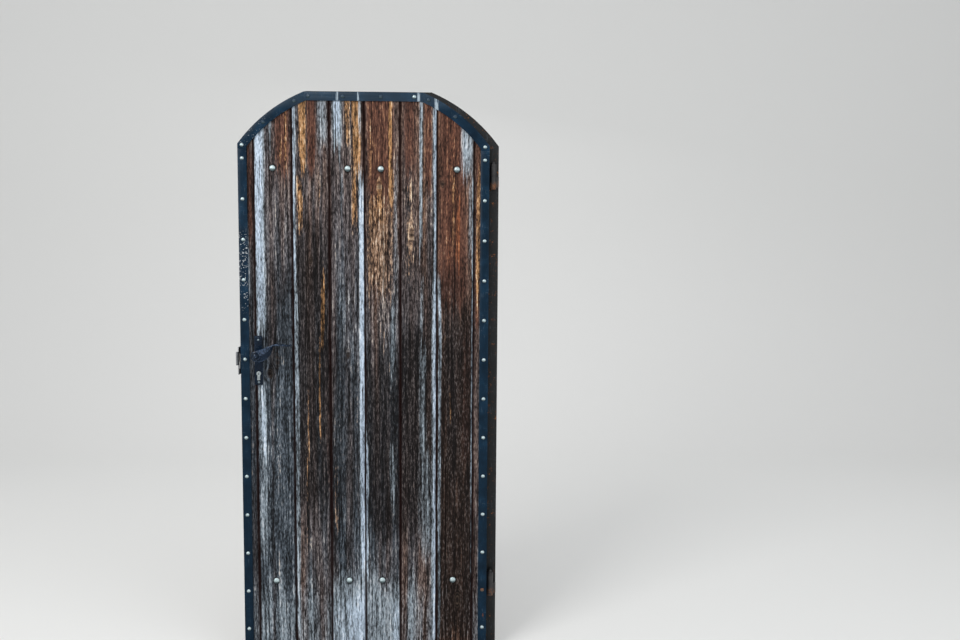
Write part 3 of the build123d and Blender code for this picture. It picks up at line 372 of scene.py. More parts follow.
class DoorStage(bpy.types.PropertyGroup):
    floor: bpy.props.FloatVectorProperty(
        name="Floor", description="Colour of the floor and backdrop",
        default=(0.80, 0.80, 0.79), **COLOUR,
    )
    lens: bpy.props.FloatProperty(
        name="Lens", description="Focal length of the camera", default=33.75, min=10, max=200,
        subtype="DISTANCE_CAMERA", unit="CAMERA",
    )
    sky: bpy.props.FloatProperty(
        name="Sky light", description="Strength of the even light from all round", default=0.62, min=0, max=3
    )
    key: bpy.props.FloatProperty(
        name="Key light", description="Power of the large lamp", default=150, min=0, max=2000,
        subtype="POWER", unit="POWER",
    )


def add_node(tree, kind, settings=None, sockets=None):
    """Adds a node to a tree: its settings first, then the values or links of its sockets."""
    made = tree.nodes.new(kind)
    for key, value in (settings or {}).items():
        if key == "stops":
            ramp = made.color_ramp
            while len(ramp.elements) < len(value):
                ramp.elements.new(0.5)
            for element, (place, colour) in zip(ramp.elements, value):
                element.position = place
                element.color = (*colour, 1.0)
        else:
            setattr(made, key, value)
    for key, value in (sockets or {}).items():
        if isinstance(value, bpy.types.NodeSocket):
            tree.links.new(value, made.inputs[key])
        else:
            made.inputs[key].default_value = value
    return made


# Shader maths
class Value:
    """An output socket. Expressions on it add Math nodes to its material."""

    def __init__(self, finish, socket):
        self.finish = finish
        self.socket = socket

    def _math(self, operation, first, second=0.0, clamp=False):
        settings = {"operation": operation, "use_clamp": clamp}
        return self.finish.node("ShaderNodeMath", settings, {0: first, 1: second})

    def __add__(self, other):
        return self._math("ADD", self, other)

    def __radd__(self, other):
        return self._math("ADD", other, self)

    def __sub__(self, other):
        return self._math("SUBTRACT", self, other)

    def __rsub__(self, other):
        return self._math("SUBTRACT", other, self)

    def __mul__(self, other):
        return self._math("MULTIPLY", self, other)

    def __rmul__(self, other):
        return self._math("MULTIPLY", other, self)

    def __abs__(self):
        return self._math("ABSOLUTE", self)

    def clamp(self):
        return self._math("ADD", self, 0.0, clamp=True)

    def above(self, other):
        """The larger of the two."""
        return self._math("MAXIMUM", self, other)

    def step(self, low, high):
        """Rises smoothly from 0 at low to 1 at high, or falls where low is the larger."""
        settings = {"interpolation_type": "SMOOTHSTEP"}
        if low <= high:
            sockets = {"Value": self, "From Min": low, "From Max": high}
        else:
            sockets = {"Value": self, "From Min": high, "From Max": low, "To Min": 1.0, "To Max": 0.0}
        return self.finish.node("ShaderNodeMapRange", settings, sockets)


class Finish:
    """One material, built from expressions."""

    def __init__(self, name, **plain):
        self.material = bpy.data.materials.new(name)
        self.material.use_nodes = True
        self.tree = self.material.node_tree
        self.shader = self.tree.nodes["Principled BSDF"]
        for socket, value in plain.items():
            self.shader.inputs[socket.replace("_", " ")].default_value = value

    def node(self, kind, settings=None, sockets=None, output=0):
        """Any node, by its type, its settings and its sockets' values or links; gives one of its outputs."""
        sockets = dict(sockets or {})
        for key, value in sockets.items():
            if isinstance(value, Value):
                sockets[key] = value.socket
        return Value(self, add_node(self.tree, kind, settings, sockets).outputs[output])

    def attribute(self, name, output="Fac"):
        return self.node("ShaderNodeAttribute", {"attribute_name": name}, output=output)

    def place(self):
        return self.node("ShaderNodeTexCoord", output="Object")

    def parts(self, vector):
        return [self.node("ShaderNodeSeparateXYZ", None, {0: vector}, axis) for axis in range(3)]

    def noise(self, vector, scale, detail=3.0, roughness=0.5):
        """Noise at one scale, or at three scales along x, y and z."""
        if isinstance(scale, tuple):
            vector, scale = self.node("ShaderNodeMapping", None, {"Vector": vector, "Scale": scale}), 1.0
        sockets = {"Vector": vector, "Scale": scale, "Detail": detail, "Roughness": roughness}
        return self.node("ShaderNodeTexNoise", None, sockets)

    def ramp(self, value, *stops):
        return self.node("ShaderNodeValToRGB", {"stops": stops}, {"Fac": value})

    def mix(self, amount, below, above):
        below, above = ((*c, 1.0) if isinstance(c, tuple) else c for c in (below, above))
        settings = {"data_type": "RGBA", "clamp_factor": True}
        return self.node("ShaderNodeMix", settings, {0: amount, 6: below, 7: above}, 2)

    def fed(self, socket):
        """What feeds one of the shader's sockets so far."""
        return Value(self, self.shader.inputs[socket].links[0].from_socket)

    def feed(self, **sockets):
        for socket, value in sockets.items():
            self.tree.links.new(value.socket, self.shader.inputs[socket.replace("_", " ")])

    def bump(self, height, depth, strength):
        sockets = {"Height": height, "Distance": depth, "Strength": strength}
        self.feed(Normal=self.node("ShaderNodeBump", None, sockets))


def shade(colour, factor):
    return tuple(min(1.0, channel * factor) for channel in colour)


# Smooth random values for the boards' meshes
def ripple(x, z, seed):
    """Values between -1 and 1 on a plane, the same on every run."""
    cell_x, cell_z = np.floor(x), np.floor(z)
    part_x, part_z = x - cell_x, z - cell_z
    part_x = part_x * part_x * (3 - 2 * part_x)
    part_z = part_z * part_z * (3 - 2 * part_z)

    def corner(right, up):
        wave = np.sin((cell_x + right) * 127.1 + (cell_z + up) * 311.7 + seed * 74.7) * 43758.5453
        return (wave - np.floor(wave)) * 2 - 1

    low = corner(0, 0) * (1 - part_x) + corner(1, 0) * part_x
    high = corner(0, 1) * (1 - part_x) + corner(1, 1) * part_x
    return low * (1 - part_z) + high * part_z


def smooth(value, low, high):
    share = np.clip((value - low) / (high - low), 0, 1)
    return share * share * (3 - 2 * share)


# Shared mesh work
def link(name, mesh):
    piece = bpy.data.objects.new(name, mesh)
    bpy.context.scene.collection.objects.link(piece)
    return piece


def piece_from(work, name, slot=None):
    """A linked piece from a bmesh, with its slot's materials."""
    mesh = bpy.data.meshes.new(name)
    work.to_mesh(mesh)
    work.free()
    for material in coats(slot) if slot else ():
        mesh.materials.append(material)
    return link(name, mesh)


def hand_over(piece, body, slot, *nodes):
    """Puts a finished piece on its body, standing for the nodes. The slot is not used."""
    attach(piece, body)
    if nodes:
        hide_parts(*nodes)


def merged_copy(node):
    """A CAD node's mesh as a bmesh whose triangles share their corners."""
    work = bmesh.new()
    work.from_mesh(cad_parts[node].data)
    bmesh.ops.remove_doubles(work, verts=work.verts, dist=1e-6)
    return work


def add_field(mesh, name, values, kind="FLOAT"):
    """Writes an attribute's values, or vectors, to the mesh's points."""
    layer = mesh.attributes.new(name, kind, "POINT")
    layer.data.foreach_set("value" if kind == "FLOAT" else "vector", np.asarray(values, np.float32).ravel())


def add_box(work, centre, size):
    bmesh.ops.create_cube(work, size=1.0, matrix=Matrix.Translation(centre) @ Matrix.Diagonal((*size, 1)))


def smooth_by_angle(mesh, degrees):
    mesh.polygons.foreach_set("use_smooth", [True] * len(mesh.polygons))
    mesh.set_sharp_from_angle(angle=radians(degrees))
    mesh.update()


def flatten(piece):
    """Makes a piece's evaluated shape its plain mesh."""
    graph = bpy.context.evaluated_depsgraph_get()
    shape = piece.evaluated_get(graph)
    made = bpy.data.meshes.new_from_object(shape, preserve_all_data_layers=True, depsgraph=graph)
    piece.modifiers.clear()
    piece.data = made


def round_edges(piece, width, segments=2):
    """Rounds the edges. The roundings take the last material, which is the worn one where there is one; on
    the handles' plates that worn coat is also a painted highlight.
    """
    bevel = piece.modifiers.new("Rounded edges", "BEVEL")
    bevel.width = width
    bevel.segments = segments
    bevel.limit_method = "ANGLE"
    bevel.angle_limit = radians(50)
    bevel.material = len(piece.data.materials) - 1
    flatten(piece)


def softened(node, width, body, slot):
    """A copy of a CAD node with merged, rounded edges, standing for the node."""
    work = merged_copy(node)
    bmesh.ops.dissolve_limit(
        work, angle_limit=radians(1), verts=work.verts, edges=work.edges, delimit={"NORMAL"}
    )
    piece = piece_from(work, node + "_dressed", slot)
    piece.data.polygons.foreach_set("material_index", [0] * len(piece.data.polygons))
    if width > 0:
        round_edges(piece, width)
    smooth_by_angle(piece.data, 40)
    hand_over(piece, body, slot, node)


def skin(work, rings, worn_and_highlight_sides=()):
    """Joins rings of corners by faces and closes both ends. The sides listed take the second material, which
    on the grip is the worn coat, partly a painted highlight.
    """
    sides = len(rings[0])
    for low, high in zip(rings, rings[1:]):
        for step in range(sides):
            following = (step + 1) % sides
            face = work.faces.new((low[step], low[following], high[following], high[step]))
            face.material_index = int(step in worn_and_highlight_sides)
    work.faces.new(rings[0])
    work.faces.new(rings[-1])


# Finishes
def steel_finish(
    name, colour, wear, roughness, rust_amount=0.0, worn_colour=(0.16, 0.19, 0.22), scratch=0.5, specular=0.3
):
    """Painted or coated steel with scratches, thin places and, where asked, rust."""
    finish = Finish(name, Roughness=roughness, Specular_IOR_Level=specular)
    place = finish.place()
    cloud = finish.noise(place, 14.0, 5.0, 0.6)
    grit = finish.noise(place, 260.0, 3.0, 0.6)
    hair = finish.noise(place, (900.0, 900.0, 26.0), 2.0)
    side_hair = finish.noise(place, (30.0, 700.0, 900.0), 2.0)
    colour = tuple(colour)
    base = finish.ramp(cloud, (0.3, shade(colour, 0.55)), (0.52, colour), (0.75, shade(colour, 1.9)))
    scratches = hair.step(0.66, 0.72).above(side_hair.step(0.69, 0.74)) * cloud.step(0.42, 0.62)
    base = finish.mix(scratches * scratch, base, worn_colour)
    thin = (cloud * 0.6 + grit * 0.6).step(0.86 - 0.34 * wear, 0.96 - 0.30 * wear)
    base = finish.mix(thin, base, worn_colour)
    rough = roughness - 0.12 + cloud * 0.22 + grit * 0.10
    if rust_amount > 0:
        red = tuple(bpy.context.scene.door_metal.rust)
        bloom = finish.noise(place, 42.0, 6.0, 0.7)
        rusty = (bloom * 0.7 + grit * 0.3).step(0.62 - 0.28 * rust_amount, 0.74 - 0.26 * rust_amount)
        rust = finish.ramp(grit, (0.3, shade(red, 0.25)), (0.55, red), (0.75, (0.42, 0.17, 0.06)))
        base = finish.mix(rusty, base, rust)
        rough = rough + rusty * 0.35
    finish.feed(Base_Color=base, Roughness=rough.clamp())
    finish.bump(grit * 0.5 + cloud * 0.3 + scratches * -0.3, 0.0004, 0.5)
    return finish


def edging_finish(name, wear):
    """The edging's blue-black paint, with pale specks on the left, painted patches of sunlight across the
    top, a painted highlight along the top and painted shade low on the left.
    """
    metal = bpy.context.scene.door_metal
    finish = steel_finish(
        name, metal.edging, wear, 0.36, worn_colour=(0.20, 0.26, 0.32), scratch=0.55, specular=0.1
    )
    place = finish.place()
    x, y, z = finish.parts(place)
    front = y.step(LEAF_LOW.y + 0.0035, LEAF_LOW.y + 0.0015)
    spots = finish.noise(place, 210.0, 2.0)
    left = x.step(-0.400, -0.430) * z.step(1.28, 1.38) * z.step(1.62, 1.54)
    corner = x.step(-0.300, -0.380) * z.step(1.86, 1.95)
    everywhere = finish.noise(place, 95.0, 4.0, 0.7).step(0.73, 0.76)
    specks = (spots.step(0.60, 0.68) * left * 0.8).above(spots.step(0.66, 0.70) * corner * 0.4)
    specks = specks.above(everywhere * 0.3) * front
    # Where the painted patches of sunlight lie across the top
    marks = []
    for centre, half, low in PAINTED_SUN_PATCHES:
        marks.append(abs(x - centre).step(half * 1.6, half * 0.6) * z.step(low, low + 0.012))
    drawn = finish.noise(place, (160.0, 60.0, 25.0), 3.0, 0.6)
    painted_sun = reduce(Value.above, marks) * drawn.step(0.36, 0.56) * front
    colour = finish.mix(specks, finish.fed("Base Color"), (0.52, 0.55, 0.58))
    # Painted light: the patches of sunlight, in pale blue
    colour = finish.mix(painted_sun * 0.7, colour, (0.50, 0.60, 0.68))
    # Painted highlight: the top of the edging a little lighter and bluer
    colour = finish.mix(z.step(2.03, 2.06) * 0.06, colour, (0.25, 0.33, 0.42))
    # Painted shade: the lower left of the edging darker in its own blue
    colour = finish.mix(x.step(-0.40, -0.43) * z.step(1.3, 0.7) * 0.45, colour, (0.002, 0.010, 0.020))
    rusty = finish.noise(place, (60.0, 60.0, 18.0), 4.0, 0.6).step(0.66, 0.74) * z.step(0.42, 0.10)
    colour = finish.mix(rusty * 0.7, colour, tuple(metal.rust))
    finish.feed(Base_Color=colour)
    return finish


def zinc_finish(name):
    """Galvanised heads: some bright, some painted over, one rusty, by the head's own tone, with painted shade
    on the lower part of each head.
    """
    metal = bpy.context.scene.door_metal
    finish = Finish(name)
    tone = finish.attribute("tone")
    place = finish.place()
    bloom = finish.noise(place, 420.0, 4.0, 0.6)
    spangle = finish.noise(place, 120.0, 2.0)
    zinc = (0.3, shade(metal.zinc, 0.55)), (0.5, tuple(metal.zinc)), (0.75, (0.86, 0.92, 0.93))
    painted = tone.step(0.35, 0.65)
    rusty = tone.step(1.5, 1.8)
    worn = (bloom * 0.7 + spangle * 0.5).step(0.66, 0.74)
    paint = finish.mix(worn * 0.8, shade(metal.edging, 1.5), (0.22, 0.28, 0.33))
    colour = finish.mix(painted, finish.ramp(bloom, *zinc), paint)
    rust = finish.ramp(bloom, (0.35, shade(metal.rust, 0.35)), (0.6, (0.17, 0.085, 0.05)))
    colour = finish.mix(rusty, colour, rust)
    # Painted shade: each head darker and tealer below its centre
    height = finish.parts(place)[2] - finish.parts(finish.attribute("centre", "Vector"))[2]
    beneath = height.step(0.0015, -0.0055) * height.step(-0.03, -0.02)
    colour = finish.mix(beneath * 0.85, colour, (0.020, 0.045, 0.050))
    finish.feed(
        Base_Color=colour,
        Metallic=((1.0 - painted) * 0.72 * spangle.step(0.25, 0.5)).clamp(),
        Roughness=(0.34 + bloom * 0.25 + painted * 0.1 + rusty * 0.2).clamp(),
    )
    finish.bump(bloom, 0.0002, 0.4)
    return finish


def bare_steel_finish(name, colour, roughness):
    """Uncoated steel or nickel, brushed and a little clouded."""
    finish = Finish(name, Metallic=1.0)
    place = finish.place()
    brushed = finish.noise(place, (500.0, 40.0, 500.0), 3.0, 0.6)
    cloud = finish.noise(place, 60.0, 4.0, 0.6)
    stops = (0.3, shade(colour, 0.6)), (0.55, colour), (0.75, shade(colour, 1.3))
    base = finish.ramp(brushed * 0.5 + cloud * 0.5, *stops)
    finish.feed(Base_Color=base, Roughness=(roughness - 0.1 + brushed * 0.2 + cloud * 0.12).clamp())
    finish.bump(brushed, 0.0001, 0.4)
    return finish


def hinge_finish(name):
    """Dark forged iron, rusty towards the underside of each pintle."""
    metal = bpy.context.scene.door_metal
    finish = Finish(name, Roughness=0.55)
    place = finish.place()
    x, _, z = finish.parts(place)
    cloud = finish.noise(place, 30.0, 5.0, 0.65)
    grit = finish.noise(place, 330.0, 3.0, 0.6)
    iron = (0.3, (0.006, 0.006, 0.007)), (0.55, (0.017, 0.016, 0.017)), (0.75, (0.045, 0.042, 0.042))
    base = finish.ramp(cloud, *iron)
    undersides = []
    for node in ("pintle_bottom", "pintle_top"):
        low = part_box(node)[0].z
        undersides.append(z.step(low + 0.052, low + 0.012) * z.step(low - 0.02, low - 0.01))
    beneath = reduce(Value.above, undersides) * x.step(0.440, 0.452)
    rusty = (cloud * 0.6 + grit * 0.4 + beneath * 0.16).step(0.60, 0.74)
    rust = (0.3, shade(metal.rust, 0.2)), (0.5, shade(metal.rust, 0.6)), (0.75, (0.36, 0.17, 0.07))
    base = finish.mix(rusty * 0.85, base, finish.ramp(grit, *rust))
    worn = (grit * 0.6 + cloud * 0.5).step(0.72, 0.80)
    base = finish.mix(worn * 0.4, base, (0.11, 0.11, 0.12))
    finish.feed(Base_Color=base, Roughness=(0.42 + grit * 0.2 + rusty * 0.3).clamp())
    finish.bump(grit * 0.6 + cloud * 0.6 + rusty * 0.3, 0.0005, 0.5)
    return finish


def wood_finish(name):
    """Old stained softwood: stain, bare ochre wood, silvered bands and aged grey, broken up by the grain."""
    wood = bpy.context.scene.door_wood
    finish = Finish(name, Roughness=0.8, Specular_IOR_Level=0.08)
    grain = finish.attribute("grain", "Vector")
    silver, ochre, red, dark, gloom = (finish.attribute(layer) for layer in LAYERS)
    joint, aged, knot = (finish.attribute(field) for field in ("joint", "aged", "knot"))
    broad = finish.noise(grain, (34.0, 1.0, 1.2))
    streak = finish.noise(grain, (120.0, 1.0, 3.0), 4.0, 0.6)
    fibre = finish.noise(grain, (200.0, 1.0, 15.0), 4.0, 0.65)
    dash = finish.noise(grain, (290.0, 3.0, 68.0), 3.0, 0.6)
    hair = finish.noise(grain, (1100.0, 5.0, 55.0), 2.0, 0.6)
    texture = streak * 0.30 + fibre * 0.28 + dash * 0.32 + hair * 0.10 - gloom * 0.062
    pits = (dash * 0.62 + fibre * 0.38).step(0.47, 0.37)
    split = finish.noise(grain, (170.0, 5.0, 3.2)).step(0.655, 0.70)
    wander = (broad - 0.5) * 0.9 + (streak - 0.5) * 1.1 + (fibre - 0.5) * 1.0 + (dash - 0.5) * 0.8

    def tones(colour, levels, ridge):
        """A ramp from pit to ridge round one colour."""
        places = (0.39, 0.445, 0.495, 0.545)
        stops = [(place, shade(tuple(colour), level)) for place, level in zip(places, levels)]
        return finish.ramp(texture, *stops, (0.61, ridge))

    age = (aged + (broad - 0.5) * 1.6).clamp()
    stained = tones(wood.stain, (0.05, 0.22, 0.70, 1.7), (0.40, 0.285, 0.205))
    colour = finish.mix(age, stained, tones(wood.aged, (0.06, 0.22, 0.68, 1.7), (0.32, 0.34, 0.36)))
    red_mask = (red * 1.1 + wander * 0.8).step(0.25, 0.95)
    colour = finish.mix(red_mask, colour, tones(wood.red_stain, (0.12, 0.42, 0.85, 1.4), (0.30, 0.16, 0.095)))
    orange = tones((0.25, 0.075, 0.026), (0.2, 0.55, 0.9, 1.3), (0.50, 0.24, 0.11))
    colour = finish.mix((red - 0.98 + wander * 0.45).step(0.0, 0.40), colour, orange)
    colour = finish.mix((gloom * (0.48 + wander * 0.4)).clamp(), colour, (0.009, 0.007, 0.007))
    glint = (dash * 0.55 + hair * 0.45).step(0.525, 0.60) * (fibre * 0.5 + streak * 0.5).step(0.44, 0.54)
    colour = finish.mix((gloom * 0.85).clamp() * glint, colour, (0.120, 0.104, 0.102))
    bare_mask = (ochre + wander * 1.2).step(0.34, 0.92)
    bare = tones(wood.bare_wood, (0.05, 0.30, 0.88, 1.65), (0.88, 0.72, 0.52))
    colour = finish.mix(bare_mask * 0.9, colour, bare)
    silver_mask = (silver + wander * 0.7).step(0.30, 0.98)
    silvered = tones(wood.silvered, (0.12, 0.46, 0.95, 1.4), (0.60, 0.62, 0.65))
    colour = finish.mix(silver_mask * 0.93, colour, silvered)
    bleached = tones((0.37, 0.445, 0.54), (0.22, 0.55, 1.0, 1.4), (0.86, 0.89, 0.92))
    colour = finish.mix((silver - 0.85 + wander * 0.5).step(0.0, 0.45), colour, bleached)
    colour = finish.mix(pits * (0.50 - silver_mask * 0.2), colour, (0.008, 0.006, 0.006))
    colour = finish.mix(split * 0.85, colour, (0.006, 0.005, 0.005))
    rings = finish.node("ShaderNodeMath", {"operation": "SINE"}, {0: knot * 26.0 + hair * 5.0})
    knotty = finish.mix(rings.step(-0.3, 0.7), (0.012, 0.009, 0.008), (0.085, 0.060, 0.045))
    colour = finish.mix(knot.step(0.50, 0.85) * 0.5, colour, knotty)
    # Dark streaks, cracks, chips, knots and drip stains, with the painted shade of the old hole and painted
    # shadows round the bolt heads
    dark_marks_and_shade = (dark + (fibre - 0.5) * 0.8 * dark.step(0.0, 0.2)).clamp()
    colour = finish.mix(dark_marks_and_shade, colour, (0.006, 0.004, 0.004))
    colour = finish.mix(joint * 0.95, colour, (0.010, 0.003, 0.0025))
    rough = 0.72 + silver_mask * 0.12 + age * 0.08 - red_mask * 0.12 + (fibre - 0.5) * 0.2
    finish.feed(Base_Color=colour, Roughness=rough.clamp())
    finish.bump(texture * 1.2 - pits * 0.3 - split * 0.8, 0.0012, 0.8)
    return finish


def cut_wood_finish(name):
    """The boards' backs and edges: plain old brown, drier and more even than the front."""
    stain = tuple(bpy.context.scene.door_wood.stain)
    finish = Finish(name, Roughness=0.85)
    grain = finish.attribute("grain", "Vector")
    broad = finish.noise(grain, (30.0, 1.0, 1.1))
    fibre = finish.noise(grain, (190.0, 1.0, 5.0), 5.0, 0.6)
    brown = (0.34, shade(stain, 0.45)), (0.5, shade(stain, 1.25)), (0.66, shade(stain, 2.3))
    colour = finish.ramp(fibre * 0.65 + broad * 0.35, *brown)
    board = finish.noise(grain, (0.0, 9.0, 0.0), 0.0).step(0.32, 0.68)
    colour = finish.mix(board * 0.55, colour, finish.mix(0.5, colour, (0.020, 0.013, 0.010)))
    pale = finish.noise(grain, (14.0, 1.0, 0.9), 4.0, 0.6).step(0.46, 0.72)
    colour = finish.mix(pale * 0.5, colour, finish.mix(0.6, colour, (0.20, 0.16, 0.125)))
    streak = (fibre * 0.5 + finish.noise(grain, (90.0, 1.0, 2.4)) * 0.5).step(0.44, 0.36)
    colour = finish.mix(streak * 0.6, colour, (0.014, 0.009, 0.007))
    colour = finish.mix(finish.attribute("knot").step(0.45, 0.85) * 0.7, colour, (0.030, 0.016, 0.010))
    colour = finish.mix(finish.attribute("joint").step(0.2, 1.0) * 0.8, colour, (0.008, 0.005, 0.004))
    finish.feed(Base_Color=colour, Roughness=(0.72 + fibre * 0.2).clamp())
    finish.bump(fibre, 0.0008, 0.5)
    return finish


def coats(slot):
    """A slot's materials, made when first asked for: its finish and, where it has one, a worn or cut one. The
    handles' worn one is also a painted highlight.
    """
    metal = bpy.context.scene.door_metal
    steel, handle = bare_steel_finish, {"colour": metal.handle}
    black = {**handle, "wear": 0.0, "roughness": 0.17, "worn_colour": (0.07, 0.11, 0.18)}
    # The handles' worn coat: lighter, partly wear and partly a painted highlight on the edges and the hub's
    # end
    worn = {**handle, "wear": 0.8, "roughness": 0.20, "worn_colour": (0.045, 0.075, 0.135)}
    frame_paint = {"colour": metal.frame_paint, "wear": 0.15, "roughness": 0.48, "rust_amount": 0.22}
    builds = {
        "weathered_wood": (("weathered_wood", wood_finish, {}), ("cut_wood", cut_wood_finish, {})),
        "edging_paint": (
            ("edging_paint", edging_finish, {"wear": 0.15}),
            ("edging_worn", edging_finish, {"wear": 0.75}),
        ),
        "frame_paint": (("frame_paint", steel_finish, frame_paint),),
        "handle_black": (
            ("handle_black", steel_finish, {**black, "scratch": 0.3, "specular": 0.14}),
            ("handle_worn", steel_finish, {**worn, "scratch": 0.4, "specular": 0.3}),
        ),
        "bright_zinc": (("bright_zinc", zinc_finish, {}),),
        "hinge_iron": (("hinge_iron", hinge_finish, {}),),
        "strike_steel": (("strike_steel", steel, {"colour": (0.30, 0.31, 0.33), "roughness": 0.42}),),
        "lock_steel": (("lock_steel", steel, {"colour": (0.42, 0.41, 0.40), "roughness": 0.34}),),
        "cylinder_nickel": (("cylinder_nickel", steel, {"colour": (0.40, 0.455, 0.48), "roughness": 0.26}),),
    }
    made = []
    for name, build, settings in builds[slot]:
        name += "_finish"
        made.append(bpy.data.materials.get(name) or build(name, **settings).material)
    return made


# Boards
def top_of_leaf(x, inset):
    """Height of the leaf's outline at a place across it."""
    rise = np.sqrt(np.maximum((SHOULDER - inset) ** 2 - x**2, 0))
    return np.minimum(SHOULDER_Z + rise, LEAF_HIGH.z - inset)


def layer_amounts(number, x, z):
    """How strongly each weathering layer shows at each place of a board, from 0 to about 1."""
    amounts = {layer: np.zeros_like(x) for layer in LAYERS}
    for row, (board, layer, left, right, low, high, strength) in enumerate(STREAKS):
        if board != number:
            continue
        centre, half = (left + right) / 2000, (right - left) / 2000
        wander = 0.0014 * ripple(z * 4.2 + row, z * 0 + row, row) + 0.0005 * ripple(z * 17, z * 0, row + 50)
        share = np.abs(x - centre - wander) / half
        ends = 0.055 * ripple(x * 260, z * 6, row + 9) + 0.03 * ripple(x * 800, z * 9, row + 31)
        lower = smooth(z + ends, low / 1000 - 0.08, low / 1000 + 0.08)
        upper = 1 if high > RUNS_OUT else 1 - smooth(z + ends, high / 1000 - 0.08, high / 1000 + 0.08)
        amount = strength * (1 - smooth(share, 0.35, 1.55)) * lower * upper
        amounts[layer] = np.maximum(amounts[layer], amount)
    return amounts


def grain_places(number, x, z):
    """How far across the grain each point lies, where fibres bend round the knots, and how near a knot."""
    across = x + 0.0016 * ripple(z * 3.1, x * 0 + number, number)
    across = across + 0.0004 * ripple(z * 11, x * 14, number + 5)
    near = np.zeros_like(x)
    for board, knot_x, knot_z, radius, length, _ in KNOTS:
        if board != number:
            continue
        size = radius / 1000
        dx, dz = x - knot_x / 1000, (z - knot_z / 1000) / length
        far = np.sqrt(dx * dx + dz * dz)
        bend = np.minimum(size * size / np.maximum(far * far, 1e-9), 1.0)
        across = across - dx * bend * np.exp(-((far / (size * 5)) ** 2))
        near = np.maximum(near, np.clip(1.25 - 0.6 * far / size, 0, 1))
    return across, near


def crack_depths(number, x, z):
    """How deep the drying cracks and missing slivers go."""
    depth = np.zeros_like(x)
    for row, (board, centre, low, high, width, deep) in enumerate(CRACKS):
        if board != number:
            continue
        line = centre / 1000 + 0.0016 * ripple(z * 22, z * 0, row + 70)
        along = smooth(z, low / 1000, low / 1000 + 0.05) * (1 - smooth(z, high / 1000 - 0.05, high / 1000))
        half = width / 2000 * (0.5 + 0.5 * along)
        inside = 1 - smooth(np.abs(x - line), half * 0.3, half * 1.2)
        depth = np.maximum(depth, deep / 1000 * along * inside)
    return depth


def drips_and_head_shadows(x, z):
    """Stains that rain has washed down from the bolt heads, and a painted shadow round each head."""
    amount = np.zeros_like(x)
    for bolt in solid_middles("carriage_bolts"):
        below = bolt.z - z
        width = 0.0045 + 0.02 * np.clip(below, 0, 0.2)
        side = np.exp(-(((x - bolt.x - 0.002 * ripple(z * 40, z * 0, 3)) / width) ** 2))
        amount = amount + 0.4 * side * smooth(below, 0.0, 0.02) * (1 - smooth(below, 0.02, 0.11))
        # Painted shadow: a dark ring round each bolt head
        amount = amount + 0.8 * (1 - smooth(np.hypot(x - bolt.x, below), 0.0115, 0.017))
    return amount


def board_section(number, left, right, first, last):
    """A board's outline from above as (x, y, kind): face, right side, back and left side."""
    front, back, middle = BOARD_FRONT, BOARD_BACK, (BOARD_FRONT + BOARD_BACK) / 2
    columns = max(8, int((last - first) / bpy.context.scene.door_wood.column_step))
    section = [(x, front, FACE) for x in np.linspace(first, last, columns + 1)]
    if number < LAST_BOARD:
        tip = right + TONGUE
        section += [(right - VEE * part, front + VEE_DEPTH * down, VEE_SIDE) for part, down in VEE_STEPS]
        section += [(x, middle - TONGUE_HALF, CUT) for x in (right, tip)]
        section += [(x, middle + TONGUE_HALF, CUT) for x in (tip, right)]
    section.append((right, back - BACK_BEVEL, BACK_EDGE))
    across = np.linspace(right - BACK_BEVEL, left + BACK_BEVEL, BACK_COLUMNS + 1)
    section += [(x, back, CUT) for x in across]
    section.append((left, back - BACK_BEVEL, BACK_EDGE))
    if number > 1:
        groove = left + GROOVE_DEPTH
        section += [(x, middle + GROOVE_HALF, CUT) for x in (left, groove)]
        section += [(x, middle - GROOVE_HALF, CUT) for x in (groove, left)]
        section += [(left + VEE * part, front + VEE_DEPTH * down, VEE_SIDE) for part, down in VEE_STEPS[::-1]]
    return section


def shell_faces(rows, count):
    """Faces round and up a closed section, and its two ends."""
    faces = []
    for row in range(rows):
        start, above = row * count, (row + 1) * count
        for i in range(count):
            j = (i + 1) % count
            faces.append((start + i, start + j, above + j, above + i))
    return faces + [tuple(range(count - 1, -1, -1)), tuple(range(rows * count, (rows + 1) * count))]


